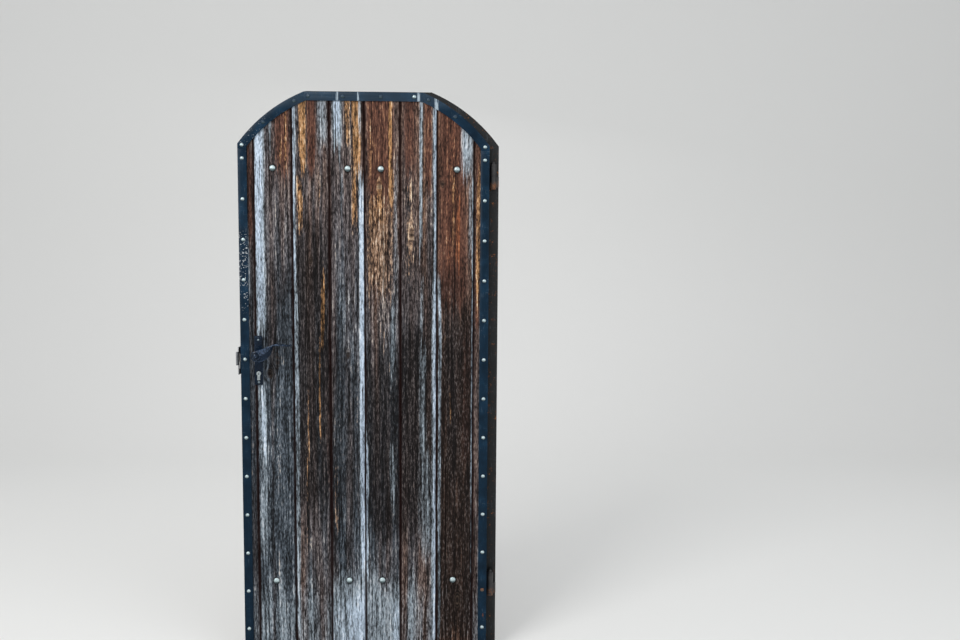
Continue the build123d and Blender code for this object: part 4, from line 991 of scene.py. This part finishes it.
def board_mesh(number):
    """A closed mesh of one board, its face worn into ridges, cracks and knots."""
    wood = bpy.context.scene.door_wood
    low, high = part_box(f"board_{number}")
    left, right = low.x, high.x - (TONGUE if number < LAST_BOARD else 0.0)
    first = left if number == 1 else left + VEE
    last = right if number == LAST_BOARD else right - VEE
    section = board_section(number, left, right, first, last)
    count, rows = len(section), max(12, int((high.z - low.z) / wood.row_step))
    x, y = (np.repeat([[point[axis] for point in section]], rows + 1, 0) for axis in (0, 1))
    kind = np.array([point[2] for point in section])
    bottom = LEAF_LOW.z + EDGING_STEEL + BOARD_GAP
    ceiling = top_of_leaf(x, EDGING_STEEL + BOARD_GAP)
    z = bottom + np.linspace(0, 1, rows + 1)[:, None] * (ceiling - bottom)

    # What has worn away, as depths behind the board's flat face
    across, near = grain_places(number, x, z)
    amounts = layer_amounts(number, x, z)
    ridges = 0.55 * ripple(across * 330, z * 5.2, number) + 0.45 * ripple(across * 120, z * 2.1, number + 3)
    hard = np.clip(0.5 - 0.5 * ridges, 0, 1)
    cup = 0.0007 * (1 - ((x - (left + right) / 2) / ((right - left) / 2)) ** 2)
    cracks = crack_depths(number, x, z)
    knots = np.sin(near * 22) * 0.0004 * smooth(near, 0.1, 0.6)
    wear = 0.0009 * (0.5 + 0.5 * ripple(x * 9, z * 1.7, number + 40)) * np.clip(amounts["silver"] + 0.3, 0, 1)
    edge = np.minimum(x - first, last - x)
    rounding = 0.0012 * (1 - smooth(edge, 0.0, 0.004)) * (1 + 0.5 * ripple(x * 60, z * 14, number + 12))
    chips = smooth(ripple(x * 30, z * 21, number + 77), 0.62, 0.9) * (1 - smooth(edge, 0.0015, 0.0055))
    depth = wood.ridge * hard * 1.6 + cracks + knots + wear + cup + 0.0002 + rounding + 0.0032 * chips
    y = y + np.where(kind == FACE, np.clip(depth, 0.0001, 0.006), 0)
    on_rim = (kind == FACE)[None, :] & ((x <= first + 1e-6) | (x >= last - 1e-6))
    x = x + np.where(on_rim, 0.0006 * ripple(z * 31, z * 0, number + 19), 0)

    # What the wood finish reads from the points
    to_joint = {1: last - x, LAST_BOARD: x - first}.get(number, edge)
    grime = 0.75 * (1 - smooth(to_joint, 0.0006, 0.0034)) * np.clip(1.15 - amounts["silver"] * 1.1, 0.05, 1)
    joint = np.where(kind == FACE, grime, np.where(kind == CUT, 0.0, 1.0))
    dark = amounts["dark"] + np.clip(cracks / 0.0012, 0, 1) + chips * 0.6
    # Dark knot middles, and the painted shade of the old hole
    for board, knot_x, knot_z, radius, _, darkness in KNOTS:
        if board == number:
            far = np.hypot(x - knot_x / 1000, z - knot_z / 1000) / (radius / 1000)
            dark = np.maximum(dark, darkness * (1 - smooth(far, 0.3, 0.95)))
    aged = np.interp(z, AGE_HEIGHTS, AGES[number - 1]) + 0.25 * ripple(x * 24, z * 0.9, number)
    foot = FOOT[number - 1] * smooth(-z - 0.05 * ripple(x * 45, z * 3, number), -0.44, -0.16)
    foot = foot * (1 + 0.25 * ripple(x * 35, z * 0.8, number))
    amounts["silver"] = np.maximum(amounts["silver"], foot)
    # The dark field also takes the drip stains and the painted shadows round the bolt heads
    fields = {**amounts, "joint": joint, "aged": aged, "knot": near, "dark": dark + drips_and_head_shadows(x, z)}
    grain = np.stack([across, number * 0.37 + (y - BOARD_FRONT) * 0.6, z], -1)

    mesh = bpy.data.meshes.new(f"board_{number}_dressed")
    mesh.from_pydata(np.stack([x, y, z], -1).reshape(-1, 3).tolist(), [], shell_faces(rows, count))
    add_field(mesh, "grain", grain, "FLOAT_VECTOR")
    for name, values in fields.items():
        add_field(mesh, name, np.clip(values, 0, 1.3))
    outer = [point in (FACE, VEE_SIDE) for point in kind]
    backs = [0 if outer[i] and outer[(i + 1) % count] else 1 for i in range(count)]
    mesh.polygons.foreach_set("material_index", backs * rows + [1, 1])
    return mesh


def clear_lock_space(piece):
    """Cuts the lock's mortise and the handles' holes out of a board."""
    case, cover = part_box("lock_case"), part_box("lock_cover")
    gap = Vector((LOCK_GAP, LOCK_GAP, LOCK_GAP))
    outer, inner = BOARD_FRONT - PAST_WOOD, BOARD_BACK + PAST_WOOD
    (left, _, bottom), (right, _, top) = CYLINDER
    boxes = (
        (
            case[0] - Vector((PAST_WOOD, LOCK_GAP, LOCK_GAP)),
            Vector((case[1].x, cover[1].y, case[1].z)) + gap,
        ),
        (
            Vector((LOCK_X - SPINDLE_HOLE, outer, SPINDLE_Z - SPINDLE_HOLE)),
            Vector((LOCK_X + SPINDLE_HOLE, inner, SPINDLE_Z + SPINDLE_HOLE)),
        ),
        (
            Vector((left - CYLINDER_GAP, outer, bottom - CYLINDER_GAP)),
            Vector((right + CYLINDER_GAP, inner, top + CYLINDER_GAP)),
        ),
    )
    work = bmesh.new()
    for low, high in boxes:
        add_box(work, (low + high) / 2, high - low)
    cutter = piece_from(work, "lock_space")
    cut = piece.modifiers.new("Lock space", "BOOLEAN")
    cut.operation = "DIFFERENCE"
    cut.solver = "EXACT"
    cut.use_self = True
    cut.object = cutter
    flatten(piece)
    bpy.data.objects.remove(cutter)


# Screws, bolts and other round heads, by Geometry Nodes
def solid_boxes(node):
    """The lowest and the highest corner of each separate solid of a node."""
    work = merged_copy(node)
    found, seen = [], set()
    for start in work.verts:
        if start in seen:
            continue
        seen.add(start)
        group, waiting = [], [start]
        while waiting:
            vert = waiting.pop()
            group.append(vert.co.copy())
            for edge in vert.link_edges:
                other = edge.other_vert(vert)
                if other not in seen:
                    seen.add(other)
                    waiting.append(other)
        found.append([Vector(end(place[axis] for place in group) for axis in range(3)) for end in (min, max)])
    work.free()
    return found


def solid_middles(*nodes):
    return [(low + high) / 2 for node in nodes for low, high in solid_boxes(node)]


def domed_fastener_tree(name):
    """Builds the node tree that puts a domed head and its shank on every point, along the point's aim."""
    tree = bpy.data.node_groups.new(name, "GeometryNodeTree")
    tree.is_modifier = True
    inputs = (
        ("Geometry", "Geometry", None),
        ("Head Radius", "Float", 0.0075),
        ("Head Rise", "Float", 0.0042),
        ("Shank Radius", "Float", 0.002),
        ("Shank Length", "Float", 0.01),
        ("Sides", "Int", 24),
        ("Seed", "Int", 0),
        ("Material", "Material", None),
    )
    for label, kind, default in inputs:
        made = tree.interface.new_socket(label, in_out="INPUT", socket_type=f"NodeSocket{kind}")
        if default is not None:
            made.default_value = default
        if kind == "Float":
            made.subtype = "DISTANCE"
    tree.interface.new_socket("Geometry", in_out="OUTPUT", socket_type="NodeSocketGeometry")
    start = tree.nodes.new("NodeGroupInput").outputs
    end = tree.nodes.new("NodeGroupOutput")

    def put(kind, settings=None, sockets=None, output=0):
        return add_node(tree, kind, settings, sockets).outputs[output]

    def maths(operation, first, second=0.0):
        return put("ShaderNodeMath", {"operation": operation}, {0: first, 1: second})

    def vector(x=0.0, y=0.0, z=0.0):
        return put("ShaderNodeCombineXYZ", None, {0: x, 1: y, 2: z})

    # The head: a flat drum whose upper side is lifted to a dome
    radius, rise = start["Head Radius"], start["Head Rise"]
    drum = {"Vertices": start["Sides"], "Side Segments": 1, "Fill Segments": 5}
    drum.update({"Radius": radius, "Depth": maths("MULTIPLY", rise, 0.3)})
    disc = put("GeometryNodeMeshCylinder", {"fill_type": "TRIANGLE_FAN"}, drum, "Mesh")
    position = {0: put("GeometryNodeInputPosition")}
    x, y, z = (put("ShaderNodeSeparateXYZ", None, position, axis) for axis in range(3))
    reach = put("ShaderNodeVectorMath", {"operation": "LENGTH"}, {0: vector(x, y)}, "Value")
    share = maths("DIVIDE", reach, radius)
    dome = maths("SQRT", maths("MAXIMUM", maths("SUBTRACT", 1.0, maths("MULTIPLY", share, share)), 0.0))
    top = maths("MULTIPLY", rise, maths("ADD", maths("MULTIPLY", dome, 0.86), 0.14))
    upper = put("FunctionNodeCompare", {"data_type": "FLOAT", "operation": "GREATER_THAN"}, {0: z, 1: 0.0})
    places = {"Switch": upper, "False": vector(x, y), "True": vector(x, y, top)}
    places = put("GeometryNodeSwitch", {"input_type": "VECTOR"}, places)
    domed = put("GeometryNodeSetPosition", None, {"Geometry": disc, "Position": places})

    # The shank, let down behind the head
    length = start["Shank Length"]
    rod = {"Vertices": 16, "Side Segments": 1, "Radius": start["Shank Radius"], "Depth": length}
    shank = put("GeometryNodeMeshCylinder", {"fill_type": "NGON"}, rod, "Mesh")
    drop = vector(z=maths("MULTIPLY", length, -0.5))
    lowered = put("GeometryNodeTransform", None, {"Geometry": shank, "Translation": drop})
    both = add_node(tree, "GeometryNodeJoinGeometry", None, {0: lowered})
    tree.links.new(domed, both.inputs[0])
    soft = put("GeometryNodeSetShadeSmooth", None, {"Geometry": both.outputs[0]})

    # One on every point, aimed and turned at random about its own axis
    aim = put("GeometryNodeInputNamedAttribute", {"data_type": "FLOAT_VECTOR"}, {"Name": "aim"})
    aligned = put("FunctionNodeAlignRotationToVector", {"axis": "Z"}, {"Vector": aim})
    full_turn, highest, drawn = 6.283, 3, 1
    spin = {"Seed": start["Seed"], highest: full_turn}
    spin = put("FunctionNodeRandomValue", {"data_type": "FLOAT"}, spin, drawn)
    turn = put("FunctionNodeAxisAngleToRotation", None, {"Angle": spin})
    turned = {"Rotation": aligned, "Rotate By": turn}
    turned = put("FunctionNodeRotateRotation", {"rotation_space": "LOCAL"}, turned)
    copies = {"Points": start["Geometry"], "Instance": soft, "Rotation": turned}
    copies = put("GeometryNodeInstanceOnPoints", None, copies)
    real = put("GeometryNodeRealizeInstances", None, {"Geometry": copies})
    coated = put("GeometryNodeSetMaterial", None, {"Geometry": real, "Material": start["Material"]})
    tree.links.new(coated, end.inputs[0])
    return tree


def fasteners(nodes, body, places, head, rise, shank, length, sides=20):
    """One piece of domed zinc heads. places are (centre, direction that the head faces, tone)."""
    name = nodes[0] + "_dressed"
    centres, aims, tones = zip(*places)
    mesh = bpy.data.meshes.new(name)
    mesh.from_pydata(centres, [], [])
    add_field(mesh, "aim", aims, "FLOAT_VECTOR")
    add_field(mesh, "tone", tones)
    add_field(mesh, "centre", centres, "FLOAT_VECTOR")
    piece = link(name, mesh)
    tree = bpy.data.node_groups.get("domed_fasteners") or domed_fastener_tree("domed_fasteners")
    modifier = piece.modifiers.new("Fasteners", "NODES")
    modifier.node_group = tree
    values = {
        "Head Radius": head,
        "Head Rise": rise,
        "Shank Radius": shank,
        "Shank Length": length,
        "Sides": sides,
        "Seed": bpy.context.scene.door_fasteners.seed,
        "Material": coats("bright_zinc")[0],
    }
    for socket in tree.interface.items_tree:
        if socket.in_out == "INPUT" and socket.name in values:
            modifier[socket.identifier] = values[socket.name]
    flatten(piece)
    if not piece.data.polygons:
        raise RuntimeError(f"{name} came out empty")
    smooth_by_angle(piece.data, 50)
    hand_over(piece, body, "bright_zinc", *nodes)


# Levers and their plates
def through(stations, steps):
    """Points on a smooth curve through the stations."""
    rows = np.array(stations, float)
    rows = np.vstack([2 * rows[0] - rows[1], rows, 2 * rows[-1] - rows[-2]])
    made = []
    for i in range(1, len(rows) - 2):
        a, b, c, d = rows[i - 1 : i + 3]
        bend, sway = 2 * a - 5 * b + 4 * c - d, 3 * b - a - 3 * c + d
        for t in np.linspace(0, 1, steps, endpoint=False):
            made.append(0.5 * (2 * b + (c - a) * t + bend * t * t + sway * t**3))
    made.append(rows[-2])
    return made


def hub(work, centre, out):
    """The turned hub of a lever, about an axis along y."""
    rings = []
    for radius, reach in LEVER_HEAD:
        ring = []
        for step in range(HUB_SIDES):
            angle = 2 * pi * step / HUB_SIDES
            place = centre.x + radius * cos(angle), centre.y + out * reach, centre.z + radius * sin(angle)
            ring.append(work.verts.new(place))
        rings.append(ring)
    skin(work, rings)


def blunt(value):
    """Widens the sine or cosine of a circle towards a rounded rectangle."""
    return abs(value) ** 0.55 * (1 if value >= 0 else -1)


def twisted_grip(work, centre, out):
    """The flat bar of the grip, upright at the hub and twisted flat for the hand."""
    outward = Vector((0, out, 0))
    path = through(LEVER_GRIP, GRIP_STEPS)
    rings = []
    for i, (right, up, half, twist, thick) in enumerate(path):
        before, after = path[max(i - 1, 0)], path[min(i + 1, len(path) - 1)]
        run = Vector((after[0] - before[0], 0, after[1] - before[1])).normalized()
        rise = Vector((-run.z, 0, run.x))
        turn = radians(twist)
        wide = rise * cos(turn) + outward * sin(turn)
        thin = outward * cos(turn) - rise * sin(turn)
        middle = centre + Vector((right, 0, up)) / 1000 + outward * GRIP_REACH
        ring = []
        for step in range(GRIP_SIDES):
            angle = 2 * pi * step / GRIP_SIDES
            a, b = half / 1000 * blunt(cos(angle)), thick / 1000 * blunt(sin(angle))
            ring.append(work.verts.new(middle + wide * a + thin * b))
        rings.append(ring)
    skin(work, rings, GRIP_EDGES)


def make_lever(node, out):
    """A lever with its hub. out is -1 on the street side and 1 inside."""
    seat = (BOARD_FRONT if out < 0 else BOARD_BACK) + out * PLATE_THICKNESS
    centre = Vector((LOCK_X, seat, SPINDLE_Z))
    work = bmesh.new()
    hub(work, centre, out)
    twisted_grip(work, centre, out)
    bmesh.ops.recalc_face_normals(work, faces=work.faces)
    piece = piece_from(work, node + "_dressed", "handle_black")
    for polygon in piece.data.polygons:
        # The hub's end takes the worn coat, partly a painted highlight, at its middle and its rim
        from_hub = polygon.center - centre
        if abs(from_hub.y) > CAP_REACH:
            radius = Vector((from_hub.x, 0, from_hub.z)).length
            polygon.material_index = 0 if CAP_TIP <= radius <= CAP_RIM else 1
    smooth_by_angle(piece.data, 32)
    hand_over(piece, "lever", "handle_black", node)


def plate_pad(node, out):
    """The raised, round-edged field round the upper screw of a handle plate."""
    low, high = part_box(node)
    face = low.y if out < 0 else high.y
    bottom, top = SPINDLE_Z + 0.024, high.z - 0.004
    width, rise, sunk = 0.0220, 0.0009, 0.0006
    work = bmesh.new()
    middle = face + out * (rise - sunk) / 2
    add_box(work, Vector((LOCK_X, middle, (bottom + top) / 2)), (width, rise + sunk, top - bottom))
    piece = piece_from(work, node + "_pad", "handle_black")
    # The pad's rounded edges take the worn coat, partly a painted highlight
    round_edges(piece, 0.0007, 3)
    smooth_by_angle(piece.data, 40)
    hand_over(piece, "leaf", "handle_black")


# Stage
def sweep_floor(settings):
    """A pale floor that curves up into the backdrop."""
    paint = (*settings.floor, 1.0)
    finish = Finish("studio_floor", Roughness=0.9, Specular_IOR_Level=0.1, Base_Color=paint)
    width, front, back, bend, height = 30.0, -7.0, 5.0, 2.0, 9.0
    profile = [(front, 0.0), (back - bend, 0.0)]
    profile += [(back - bend + bend * sin(a), bend - bend * cos(a)) for a in np.linspace(0.08, pi / 2, 16)]
    profile.append((back, height))
    verts = [(side * width, y, z) for y, z in profile for side in (-1, 1)]
    faces = [(2 * i, 2 * i + 1, 2 * i + 3, 2 * i + 2) for i in range(len(profile) - 1)]
    mesh = bpy.data.meshes.new("studio_floor")
    mesh.from_pydata(verts, [], faces)
    mesh.materials.append(finish.material)
    floor = link("studio_floor", mesh)
    smooth_by_angle(mesh, 40)


def sky(settings):
    """Even light from all round, and the backdrop's pale grey for views and reflections past the floor."""
    world = bpy.data.worlds.new("studio_light")
    world.use_nodes = True
    bpy.context.scene.world = world
    tree = world.node_tree
    light = tree.nodes["Background"]
    light.inputs["Color"].default_value = (0.97, 0.985, 1.0, 1.0)
    light.inputs["Strength"].default_value = settings.sky
    grey = {"Color": (*settings.floor, 1.0), "Strength": 0.88}
    pale = add_node(tree, "ShaderNodeBackground", None, grey)
    rays = add_node(tree, "ShaderNodeLightPath").outputs
    seen = rays["Is Camera Ray"]
    for ray in ("Is Glossy Ray", "Is Transmission Ray"):
        larger = add_node(tree, "ShaderNodeMath", {"operation": "MAXIMUM"}, {0: seen, 1: rays[ray]})
        seen = larger.outputs[0]
    mix = add_node(tree, "ShaderNodeMixShader", None, {0: seen, 1: light.outputs[0], 2: pale.outputs[0]})
    tree.links.new(mix.outputs[0], tree.nodes["World Output"].inputs[0])


def lamp(name, power, size, place, target, colour=(1.0, 1.0, 1.0)):
    data = bpy.data.lights.new(name, "AREA")
    data.energy = power
    data.size = size
    data.color = colour
    made = bpy.data.objects.new(name, data)
    made.location = place
    made.rotation_euler = (Vector(target) - Vector(place)).to_track_quat("-Z", "Y").to_euler()
    bpy.context.scene.collection.objects.link(made)


def lamps(settings):
    """A large key lamp on the left, a weaker one on the right and one behind."""
    lamp("key_light", settings.key, 2.4, (-2.6, -3.6, 4.2), (0, 0, 1.0), (1.0, 0.99, 0.97))
    lamp("fill_light", settings.key * 0.35, 3.0, (3.4, -3.2, 2.6), (0, 0, 1.0), (0.95, 0.98, 1.0))
    lamp("back_light", settings.key * 0.25, 3.0, (0.5, 3.4, 4.4), (0, 0, 1.0))


def camera(settings):
    """A viewpoint a little right of the door and just above its middle, looking slightly down."""
    data = bpy.data.cameras.new("camera")
    data.sensor_width = 36.0
    data.lens = settings.lens
    data.clip_start, data.clip_end = 0.05, 60.0
    made = bpy.data.objects.new("camera", data)
    turn = Matrix.Identity(3)
    for degrees, axis in (*CAMERA_TURNS, (90, "X")):
        turn = turn @ Matrix.Rotation(radians(degrees), 3, axis)
    made.matrix_world = Matrix.Translation(CAMERA_PLACE) @ turn.to_4x4()
    bpy.context.scene.collection.objects.link(made)
    bpy.context.scene.camera = made


# Operators
class DOOR_OT_boards(bpy.types.Operator):
    """Build the eight weathered boards"""

    bl_idname = "door.boards"
    bl_label = "Make boards"
    bl_options = {"REGISTER", "UNDO"}

    def execute(self, context):
        for number in range(1, LAST_BOARD + 1):
            piece = link(f"board_{number}_dressed", board_mesh(number))
            for material in coats("weathered_wood"):
                piece.data.materials.append(material)
            if number in LOCK_BOARDS:
                clear_lock_space(piece)
            smooth_by_angle(piece.data, 40)
            hand_over(piece, "leaf", "weathered_wood", f"board_{number}")
        return {"FINISHED"}


class DOOR_OT_edging(bpy.types.Operator):
    """Round and paint the steel edging of the leaf"""

    bl_idname = "door.edging"
    bl_label = "Make edging"
    bl_options = {"REGISTER", "UNDO"}

    def execute(self, context):
        softened("leaf_edging", context.scene.door_metal.edge_round, "leaf", "edging_paint")
        return {"FINISHED"}


class DOOR_OT_edging_screws(bpy.types.Operator):
    """Set the round-head screws in the edging"""

    bl_idname = "door.edging_screws"
    bl_label = "Make edging screws"
    bl_options = {"REGISTER", "UNDO"}

    def execute(self, context):
        sizes = context.scene.door_fasteners
        places = []
        for screw in solid_middles("edging_screws"):
            on_shoulder = screw.z > 1.98 and abs(screw.x) < 0.40
            low_on_the_right = screw.x > 0.42 and 0.20 < screw.z < 0.28
            tone = PAINTED if on_shoulder and not 0.12 < screw.x < 0.20 else BRIGHT
            if low_on_the_right:
                tone = RUSTY
            places.append(((screw.x, LEAF_LOW.y, screw.z), (0, -1, 0), tone))
        heads = sizes.screw_head, sizes.screw_rise
        fasteners(["edging_screws"], "leaf", places, *heads, *EDGING_SHANK, sides=24)
        return {"FINISHED"}


class DOOR_OT_bolts(bpy.types.Operator):
    """Set the domed bolts of the hinge straps and their nuts"""

    bl_idname = "door.bolts"
    bl_label = "Make bolts"
    bl_options = {"REGISTER", "UNDO"}

    def execute(self, context):
        sizes = context.scene.door_fasteners
        bolts = solid_middles("carriage_bolts")
        places = [((bolt.x, BOARD_FRONT, bolt.z), (0, -1, 0), BRIGHT) for bolt in bolts]
        heads = sizes.bolt_head, sizes.bolt_rise
        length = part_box("carriage_bolts")[1].y - BOARD_FRONT
        fasteners(["carriage_bolts"], "leaf", places, *heads, BOLT_SHANK, length, sides=32)
        softened("bolt_nuts", 0.0005, "leaf", "bright_zinc")
        return {"FINISHED"}


class DOOR_OT_hinges(bpy.types.Operator):
    """Forge the straps and the pins that they hang on"""

    bl_idname = "door.hinges"
    bl_label = "Make hinges"
    bl_options = {"REGISTER", "UNDO"}

    def execute(self, context):
        for place in ("top", "bottom"):
            softened(f"strap_{place}", 0.0007, "leaf", "hinge_iron")
            softened(f"pintle_{place}", 0.0007, "frame", "hinge_iron")
        return {"FINISHED"}


class DOOR_OT_handles(bpy.types.Operator):
    """Make both handles with their plates and screws"""

    bl_idname = "door.handles"
    bl_label = "Make handles"
    bl_options = {"REGISTER", "UNDO"}

    def execute(self, context):
        sides = ("outside", -1), ("inside", 1)
        for side, out in sides:
            make_lever(f"lever_{side}", out)
        for side, out in sides:
            # The plates' rounded edges take the worn coat, partly a painted highlight
            softened(f"backplate_{side}", 0.0005, "leaf", "handle_black")
            plate_pad(f"backplate_{side}", out)
        places = []
        for low, high in solid_boxes("plate_screws"):
            head = (low.x + high.x) / 2, low.y + PLATE_SCREW[1], (low.z + high.z) / 2
            places.append((head, (0, -1, 0), PART_PAINTED))
        fasteners(["plate_screws"], "leaf", places, *PLATE_SCREW)
        softened("lever_pins", 0.0, "lever", "lock_steel")
        return {"FINISHED"}


class DOOR_OT_lock(bpy.types.Operator):
    """Finish the lock, its cylinder, the forend and the strike"""

    bl_idname = "door.lock"
    bl_label = "Make lock"
    bl_options = {"REGISTER", "UNDO"}

    def execute(self, context):
        for node, width, body, slot in LOCK_PIECES:
            softened(node, width, body, slot)
        for node in HIDDEN_LOCK_NODES:
            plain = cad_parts[node].data
            plain.materials.clear()
            plain.materials.append(coats("lock_steel")[0])
        nodes = ["forend_screws", "cylinder_screw"]
        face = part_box("forend_plate")[0].x
        places = [((face, screw.y, screw.z), (-1, 0, 0), BRIGHT) for screw in solid_middles(*nodes)]
        fasteners(nodes, "leaf", places, *FOREND_SCREW)
        places = []
        for low, high in solid_boxes("strike_screws"):
            head = high.x - STRIKE_SCREW[1], (low.y + high.y) / 2, (low.z + high.z) / 2
            places.append((head, (1, 0, 0), BRIGHT))
        fasteners(["strike_screws"], "frame", places, *STRIKE_SCREW)
        return {"FINISHED"}


class DOOR_OT_outer_frame(bpy.types.Operator):
    """Round and paint the steel frame that carries the leaf"""

    bl_idname = "door.outer_frame"
    bl_label = "Make outer frame"
    bl_options = {"REGISTER", "UNDO"}

    def execute(self, context):
        softened("outer_frame", context.scene.door_metal.edge_round, "frame", "frame_paint")
        return {"FINISHED"}


class DOOR_OT_stage(bpy.types.Operator):
    """Set the floor, the backdrop, the lamps and the camera"""

    bl_idname = "door.stage"
    bl_label = "Make stage"
    bl_options = {"REGISTER", "UNDO"}

    def execute(self, context):
        settings = context.scene.door_stage
        sweep_floor(settings)
        sky(settings)
        lamps(settings)
        camera(settings)
        context.scene.view_settings.view_transform = "Standard"
        return {"FINISHED"}


class DOOR_PT_panel(bpy.types.Panel):
    """Lists the door's operators and settings"""

    bl_label = "Arched plank door"
    bl_idname = "DOOR_PT_panel"
    bl_space_type = "VIEW_3D"
    bl_region_type = "UI"
    bl_category = "Door"

    def draw(self, context):
        for operator in OPERATORS:
            self.layout.operator(operator.bl_idname)
        for group in ("door_wood", "door_metal", "door_fasteners", "door_stage"):
            settings = getattr(context.scene, group)
            box = self.layout.box()
            for name in settings.__annotations__:
                box.prop(settings, name)


SETTINGS = {
    "door_wood": DoorWood,
    "door_metal": DoorMetal,
    "door_fasteners": DoorFasteners,
    "door_stage": DoorStage,
}
OPERATORS = (
    DOOR_OT_boards,
    DOOR_OT_edging,
    DOOR_OT_edging_screws,
    DOOR_OT_bolts,
    DOOR_OT_hinges,
    DOOR_OT_handles,
    DOOR_OT_lock,
    DOOR_OT_outer_frame,
    DOOR_OT_stage,
)


def register():
    for group in (*SETTINGS.values(), *OPERATORS, DOOR_PT_panel):
        bpy.utils.register_class(group)
    for name, group in SETTINGS.items():
        setattr(bpy.types.Scene, name, bpy.props.PointerProperty(type=group))


def unregister():
    for name in SETTINGS:
        delattr(bpy.types.Scene, name)
    for group in reversed((*SETTINGS.values(), *OPERATORS, DOOR_PT_panel)):
        bpy.utils.unregister_class(group)


def main():
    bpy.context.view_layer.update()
    register()
    bpy.ops.door.boards()
    bpy.ops.door.edging()
    bpy.ops.door.edging_screws()
    bpy.ops.door.bolts()
    bpy.ops.door.hinges()
    bpy.ops.door.handles()
    bpy.ops.door.lock()
    bpy.ops.door.outer_frame()
    bpy.ops.door.stage()


if __name__ == "__main__":
    main()
